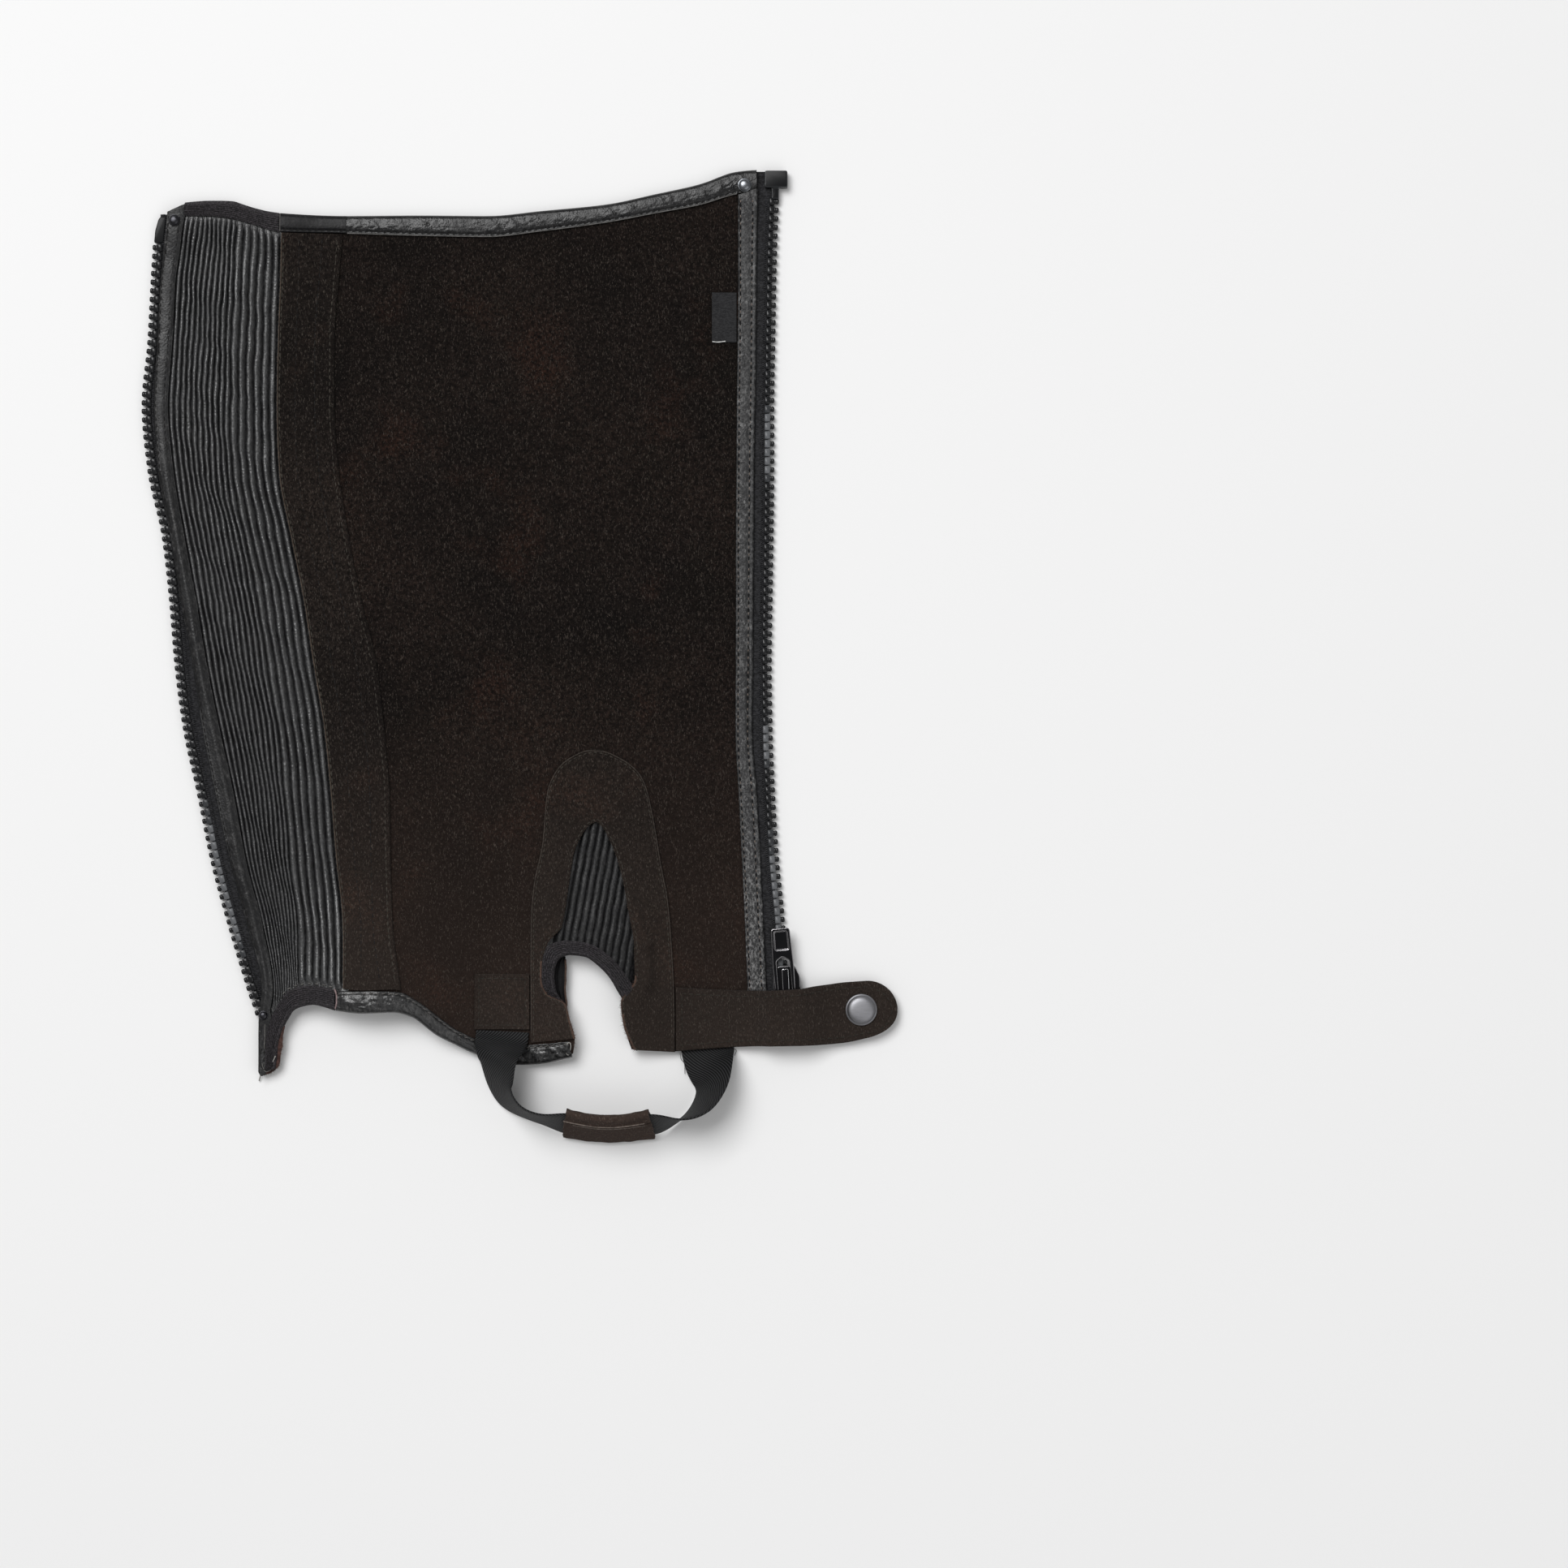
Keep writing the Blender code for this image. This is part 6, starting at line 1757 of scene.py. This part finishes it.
def build_pull():
    """Gloss tab: a raised rim round a sunk panel, over an arched slot for the slider's bridge."""
    outline = [(-4.6, -0.7), (4.6, -0.7), (4.9, 12), (4.3, 29.6), (-4.3, 29.6), (-4.9, 12)]
    gap = [(-3.0, 0.5), (3.0, 0.5), (3.0, 14.6), (0, 16.6), (-3.0, 14.6)]
    panel = [(-3.2, 19.6), (3.2, 19.6), (3.0, 28.2), (-3.0, 28.2)]
    base, slot, sunk = (plate(name, rounded_outline(points, radius), low, high, PULL_LEAN, PULL_PIVOT)
                        for name, points, radius, low, high in (
                            ("tab", outline, 1.4, -0.75, 0.75), ("tab_slot", gap, 0.9, -2, 2),
                            ("tab_panel", panel, 0.9, -0.15, 2)))
    # Its bevelled rims take a pale metal finish: a painted highlight line on the black enamel
    carved("look_pull", base, [slot, sunk], [], 0.32, [ENAMEL_LOOK, ENAMEL_RIM_HIGHLIGHT], "pull_tab",
           "zip_pull")


def build_slider():
    """Two shouldered plates round the teeth, joined by a wedge, with the bridge that holds the tab."""
    shape = [(-6.1, -8.5), (6.1, -8.5), (6.1, 3.6), (3.9, 8.5), (-3.9, 8.5), (-6.1, 3.6)]
    outline = rounded_outline(shape, 1.0)
    base, lower, wedge, bridge, under = (
        plate(name, points, low, high, SLIDER_TURN, (123.6, SLIDER_Y, 0)) for name, points, low, high in (
            ("slider", outline, 5.0, 6.2), ("slider_back", outline, 0.05, 1.2),
            ("slider_wedge", box_outline(1.3, 3.9, -7.8, -1.4), 0.8, 5.4),
            ("slider_bridge", rounded_outline(box_outline(-2.0, 1.0, -7.4, 7.4), 0.8), 5.8, 9.5),
            ("slider_under", box_outline(-4, 3, -5.9, 5.9), 6.2, 8.3)))
    # The second look of each piece takes its bevelled rims: pale metal that paints a highlight line, widest
    # on the bridge
    for name, whole, cuts, joins, bevel, rim in (
            ("look_bridge", bridge, [under], [], 0.85, BRIDGE_RIM_HIGHLIGHT),
            ("look_slider", base, [], [lower, wedge], 0.35, ENAMEL_RIM_HIGHLIGHT)):
        carved(name, whole, cuts, joins, bevel, [ENAMEL_LOOK, rim], BODY, "zip_slider")


def build_pin():
    """Insertion pin at the end of the back teeth, and the retainer box of the front ones."""
    shape = [(-1.7, -6.6), (2.6, -6.6), (4.0, 5.4), (1.2, 5.4), (0.3, 4.2), (-1.2, -1.0)]
    pin = plate("pin", rounded_outline(shape, 0.7), 0.1, 2.9, 0.0, (-167.2, 196.9, 0))
    carved("look_pin", pin, [], [], 0.45, [PLASTIC_LOOK], BODY, "zip_pin")
    box = rounded_outline([(-5.35, -3.9), (5.35, -3.9), (5.2, 3.9), (-5.2, 3.9)], 0.9)
    box = plate("box", box, 0.1, 4.9, 0.0, ZIP_BOX_AT)
    stem = rounded_outline(box_outline(-2.1, 1.3, -9.0, -3.0), 0.5)
    stem = plate("box_stem", stem, 0.9, 3.9, 0.0, ZIP_BOX_AT)
    # The box's bevelled rims take a paler plastic: a painted highlight line
    carved("look_box", box, [], [stem], 0.5, [PLASTIC_LOOK, PLASTIC_RIM_HIGHLIGHT], BODY, "zip_box")


def light(name, place, size, power):
    """A square soft light aimed at the middle of the piece."""
    lamp = bpy.data.lights.new(name, "AREA")
    lamp.shape = "SQUARE"
    lamp.size = size
    lamp.energy = power
    thing = linked(name, lamp)
    thing.location = place
    thing.rotation_euler = (-Vector(place)).to_track_quat("-Z", "Y").to_euler()


def set_stage():
    """Pale floor, soft studio light and the photograph's straight view down."""
    mesh = bpy.data.meshes.new("floor")
    mesh.from_pydata([(x, y, 0) for x, y in box_outline(-FLOOR, FLOOR, -FLOOR, FLOOR)], [], [(0, 1, 2, 3)])
    mesh.materials.append(Finish("floor_paper", 0.9, 0.1).end((0.88, 0.88, 0.88)))
    plain = linked("floor", mesh)
    plain.location.z = -0.0004
    world = bpy.data.worlds.new("studio")
    world.use_nodes = True
    world.node_tree.nodes["Background"].inputs["Color"].default_value = (1.0, 1.0, 1.0, 1.0)
    world.node_tree.nodes["Background"].inputs["Strength"].default_value = 0.30
    bpy.context.scene.world = world
    light("key", (-1.05, 1.50, 3.15), 2.1, 105.0)
    light("fill", (1.0, -0.9, 1.6), 1.6, 7.0)
    camera = bpy.data.cameras.new("view")
    camera.lens = CAMERA_LENS
    camera.sensor_width = SENSOR_WIDTH
    seen = linked("view", camera)
    seen.location = CAMERA_AT
    bpy.context.scene.camera = seen
    bpy.context.scene.view_settings.view_transform = "Standard"


SUEDE_LOOK = suede_finish("suede", (0.0108, 0.0086, 0.0077), (0.0325, 0.0215, 0.0172),
                          (0.0440, 0.0215, 0.0152), (0.165, 0.135, 0.114))
TRIM_LOOK = suede_finish("suede_trim", (0.0150, 0.0119, 0.0105), (0.0350, 0.0262, 0.0218),
                         (0.0420, 0.0250, 0.0190), (0.170, 0.142, 0.120), 1.1)
# Near black: painted shade in the needle holes of the front facing
HOLE_SHADE_LOOK = thread_finish("needle_holes_painted_shade", (0.0045, 0.0045, 0.0048))
SLEEVE_LOOK = suede_finish("suede_sleeve", (0.022, 0.016, 0.014), (0.056, 0.039, 0.032),
                           (0.085, 0.045, 0.034), (0.22, 0.180, 0.148), 1.1)
LEATHER_LOOK = leather_finish("leather", (0.0185, 0.0185, 0.0192), (0.185, 0.183, 0.182), 0.44, depth=0.00014,
                              specular=0.30, patches=(0.36, 0.66), area=260.0, low_wear=0.80)
LEATHER_BACK = leather_finish("leather_facing_back", (0.0075, 0.0075, 0.0080), (0.062, 0.060, 0.059), 0.42,
                              depth=0.00012, specular=0.36, patches=(0.40, 0.68), area=260.0)
LEATHER_TOP = leather_finish("leather_top", (0.0040, 0.0040, 0.0044), (0.030, 0.029, 0.029), 0.30,
                             grain=1400.0, depth=0.00009, specular=0.35)
LEATHER_EDGE = leather_finish("leather_edge", (0.0040, 0.0040, 0.0044), (0.060, 0.058, 0.057), 0.34,
                              grain=1400.0, depth=0.00009, specular=0.62)
LEATHER_PLAIN = leather_finish("leather_plain", (0.0045, 0.0044, 0.0048), (0.020, 0.019, 0.020), 0.45,
                               grain=1400.0, depth=0.00006, specular=0.16)
LEATHER_RIB = leather_finish("leather_ribs", (0.0040, 0.0040, 0.0044), (0.034, 0.034, 0.036), 0.45,
                             specular=0.90)
GUSSET_LOOK = leather_finish("leather_gusset", (0.0060, 0.0059, 0.0064), (0.030, 0.029, 0.030), 0.53,
                             specular=0.30)
ELASTIC_LOOK = elastic_finish("elastic", (0.0100, 0.0090, 0.0098), (0.056, 0.050, 0.055))
# A much darker copy of the elastic for the curled-under binding: painted shade
FOLD_SHADE_LOOK = elastic_finish("elastic_curl_painted_shade", (0.0030, 0.0028, 0.0032), (0.0090, 0.0085, 0.0095))
WEBBING_LOOK = webbing_finish("webbing")
TAPE_LOOK = tape_finish("zip_tape", (0.0060, 0.0060, 0.0068), (0.034, 0.034, 0.037))
CORD_LOOK = tape_finish("zip_cord", (0.012, 0.012, 0.0135), (0.060, 0.060, 0.064))
TOOTH_LOOK = plastic_finish("zip_teeth", (0.0080, 0.0083, 0.0092), 0.26, 0.35)
# Paler copies of the teeth's plastic: a painted highlight on the tooth bodies
TOOTH_HALF_HIGHLIGHT = plastic_finish("zip_teeth_half_highlight", (0.036, 0.038, 0.041), 0.30, 0.35)
TOOTH_HIGHLIGHT = plastic_finish("zip_teeth_painted_highlight", (0.110, 0.114, 0.120), 0.34, 0.35)
PLASTIC_LOOK = plastic_finish("zip_ends", (0.0060, 0.0062, 0.0070), 0.30, 0.16)
# Paler plastic for the retainer box's bevelled rims: a painted highlight line
PLASTIC_RIM_HIGHLIGHT = plastic_finish("zip_end_rims_painted_highlight", (0.020, 0.022, 0.024), 0.25, 0.5)
ENAMEL_LOOK = plastic_finish("black_enamel", (0.0050, 0.0050, 0.0058), 0.12, 0.14)
# Pale metal for the bevelled rims of the black enamel pull and slider: a painted highlight line
ENAMEL_RIM_HIGHLIGHT = steel_finish("enamel_rims_painted_highlight", (0.34, 0.33, 0.34), 0.18)
# Bright metal for the wide bevels of the slider's bridge: painted highlight bars on its black enamel
BRIDGE_RIM_HIGHLIGHT = steel_finish("bridge", (0.75, 0.75, 0.76), 0.12)
SNAP_LOOK = steel_finish("snap_metal", (0.27, 0.27, 0.285), 0.46)
RIVET_LOOK = steel_finish("rivet", (0.20, 0.21, 0.225), 0.28)
RIVET_DARK = steel_finish("rivet_dark", (0.045, 0.045, 0.05), 0.3)
RAW_LOOK = thread_finish("raw_hide", (0.066, 0.040, 0.030))
HIDE_LOOK = thread_finish("red_hide", (0.058, 0.030, 0.025))
LIP_LOOK = thread_finish("binding_lip", (0.120, 0.116, 0.112))
JOIN_LOOK = thread_finish("raw_joint", (0.24, 0.175, 0.175))
SEAM_LOOK = thread_finish("sleeve_seam", (0.150, 0.122, 0.104))
RIM_LOOK = thread_finish("patch_rim", (0.056, 0.046, 0.038))
FOLD_LIGHT = thread_finish("label_fold", (0.48, 0.48, 0.47))
FUZZ_LOOK = thread_finish("hide_edge", (0.072, 0.054, 0.041))
FUZZ_HAIR = thread_finish("edge_hair", (0.115, 0.090, 0.068))
RED_HAIR = thread_finish("red_hair", (0.115, 0.058, 0.042))
HAIR_LOOK = thread_finish("nap_hair", (0.105, 0.086, 0.068))
DULL_THREAD = thread_finish("dull_thread", (0.042, 0.037, 0.030))
DIM_THREAD = thread_finish("dim_thread", (0.030, 0.026, 0.021))
DARK_THREAD = thread_finish("dark_thread", (0.010, 0.0095, 0.0095))
LIGHT_THREAD = thread_finish("light_thread", (0.115, 0.110, 0.105))
PALE_THREAD = thread_finish("pale_thread", (0.26, 0.25, 0.235))
LABEL_LOOK = tape_finish("label", (0.0120, 0.0120, 0.0130), (0.030, 0.030, 0.0315))

# Frayed ends over the back facing, then loose ends elsewhere: their points, radius and look
FRAYED = (
    (((-113.6, -188.0), (-112.9, -186.6), (-112.2, -185.2)), 0.24, PALE_THREAD),
    (((-119.0, -182.0), (-119.6, -186.0), (-119.2, -190.0), (-117.0, -191.6), (-114.6, -190.4)), 0.24,
     DARK_THREAD),
    (((-118.6, -188.6), (-118.2, -190.4), (-116.6, -192.6), (-114.4, -191.6)), 0.20, LIGHT_THREAD),
)
LOOSE = (
    ("thread", 0.11, DARK_THREAD,
     (((74.2, -184.4, 1.6), (74.6, -187.0, 0.9), (76.2, -189.4, 0.4), (76.4, -194.0, 0.4)),
      ((99.0, -182.0, 2.2), (100.2, -183.2, 1.2), (99.4, -185.4, 0.5)))),
    ("end", 0.13, PALE_THREAD,
     (((19.6, -128.4, 4.6), (21.0, -127.8, 4.9), (22.6, -126.2, 4.7)),
      ((19.8, -129.6, 4.5), (21.8, -130.4, 4.8), (24.4, -129.8, 4.6), (27.2, -130.6, 4.4)),
      ((21.4, -131.0, 4.6), (24.6, -131.6, 4.9), (28.0, -131.2, 4.7), (30.4, -131.9, 4.5)))),
)

build_suede()
build_back_panel()
build_gusset()
build_band()
build_patch()
build_facings()
build_bindings()
for half in ("back", "front"):
    build_tape(half)
    build_teeth(half)
build_round_parts()
build_strap()
flat_patch("look_tab", -20.6, 4.9, -147.6, -173.1, OVERLAY, [TRIM_LOOK, FUZZ_LOOK], "suede_trim",
           "stirrup_tab")
flat_patch("look_label", 88.9, 100.4, 167.4, 144.2, 0.6, [LABEL_LOOK], "label", "label_tab")
yarn("look_label_fold", ((89.2, 144.35, 5.1), (91.6, 144.1, 5.2), (95.2, 144.5, 5.1)), 0.26, FOLD_LIGHT,
     "label")
build_webbing()
build_sleeve()
build_stitches()
build_nap()
build_fuzz()
build_loose_threads()
build_flap_hide()
build_gusset_fold()
build_pin()
build_slider()
build_pull()
finish_socket()
set_stage()
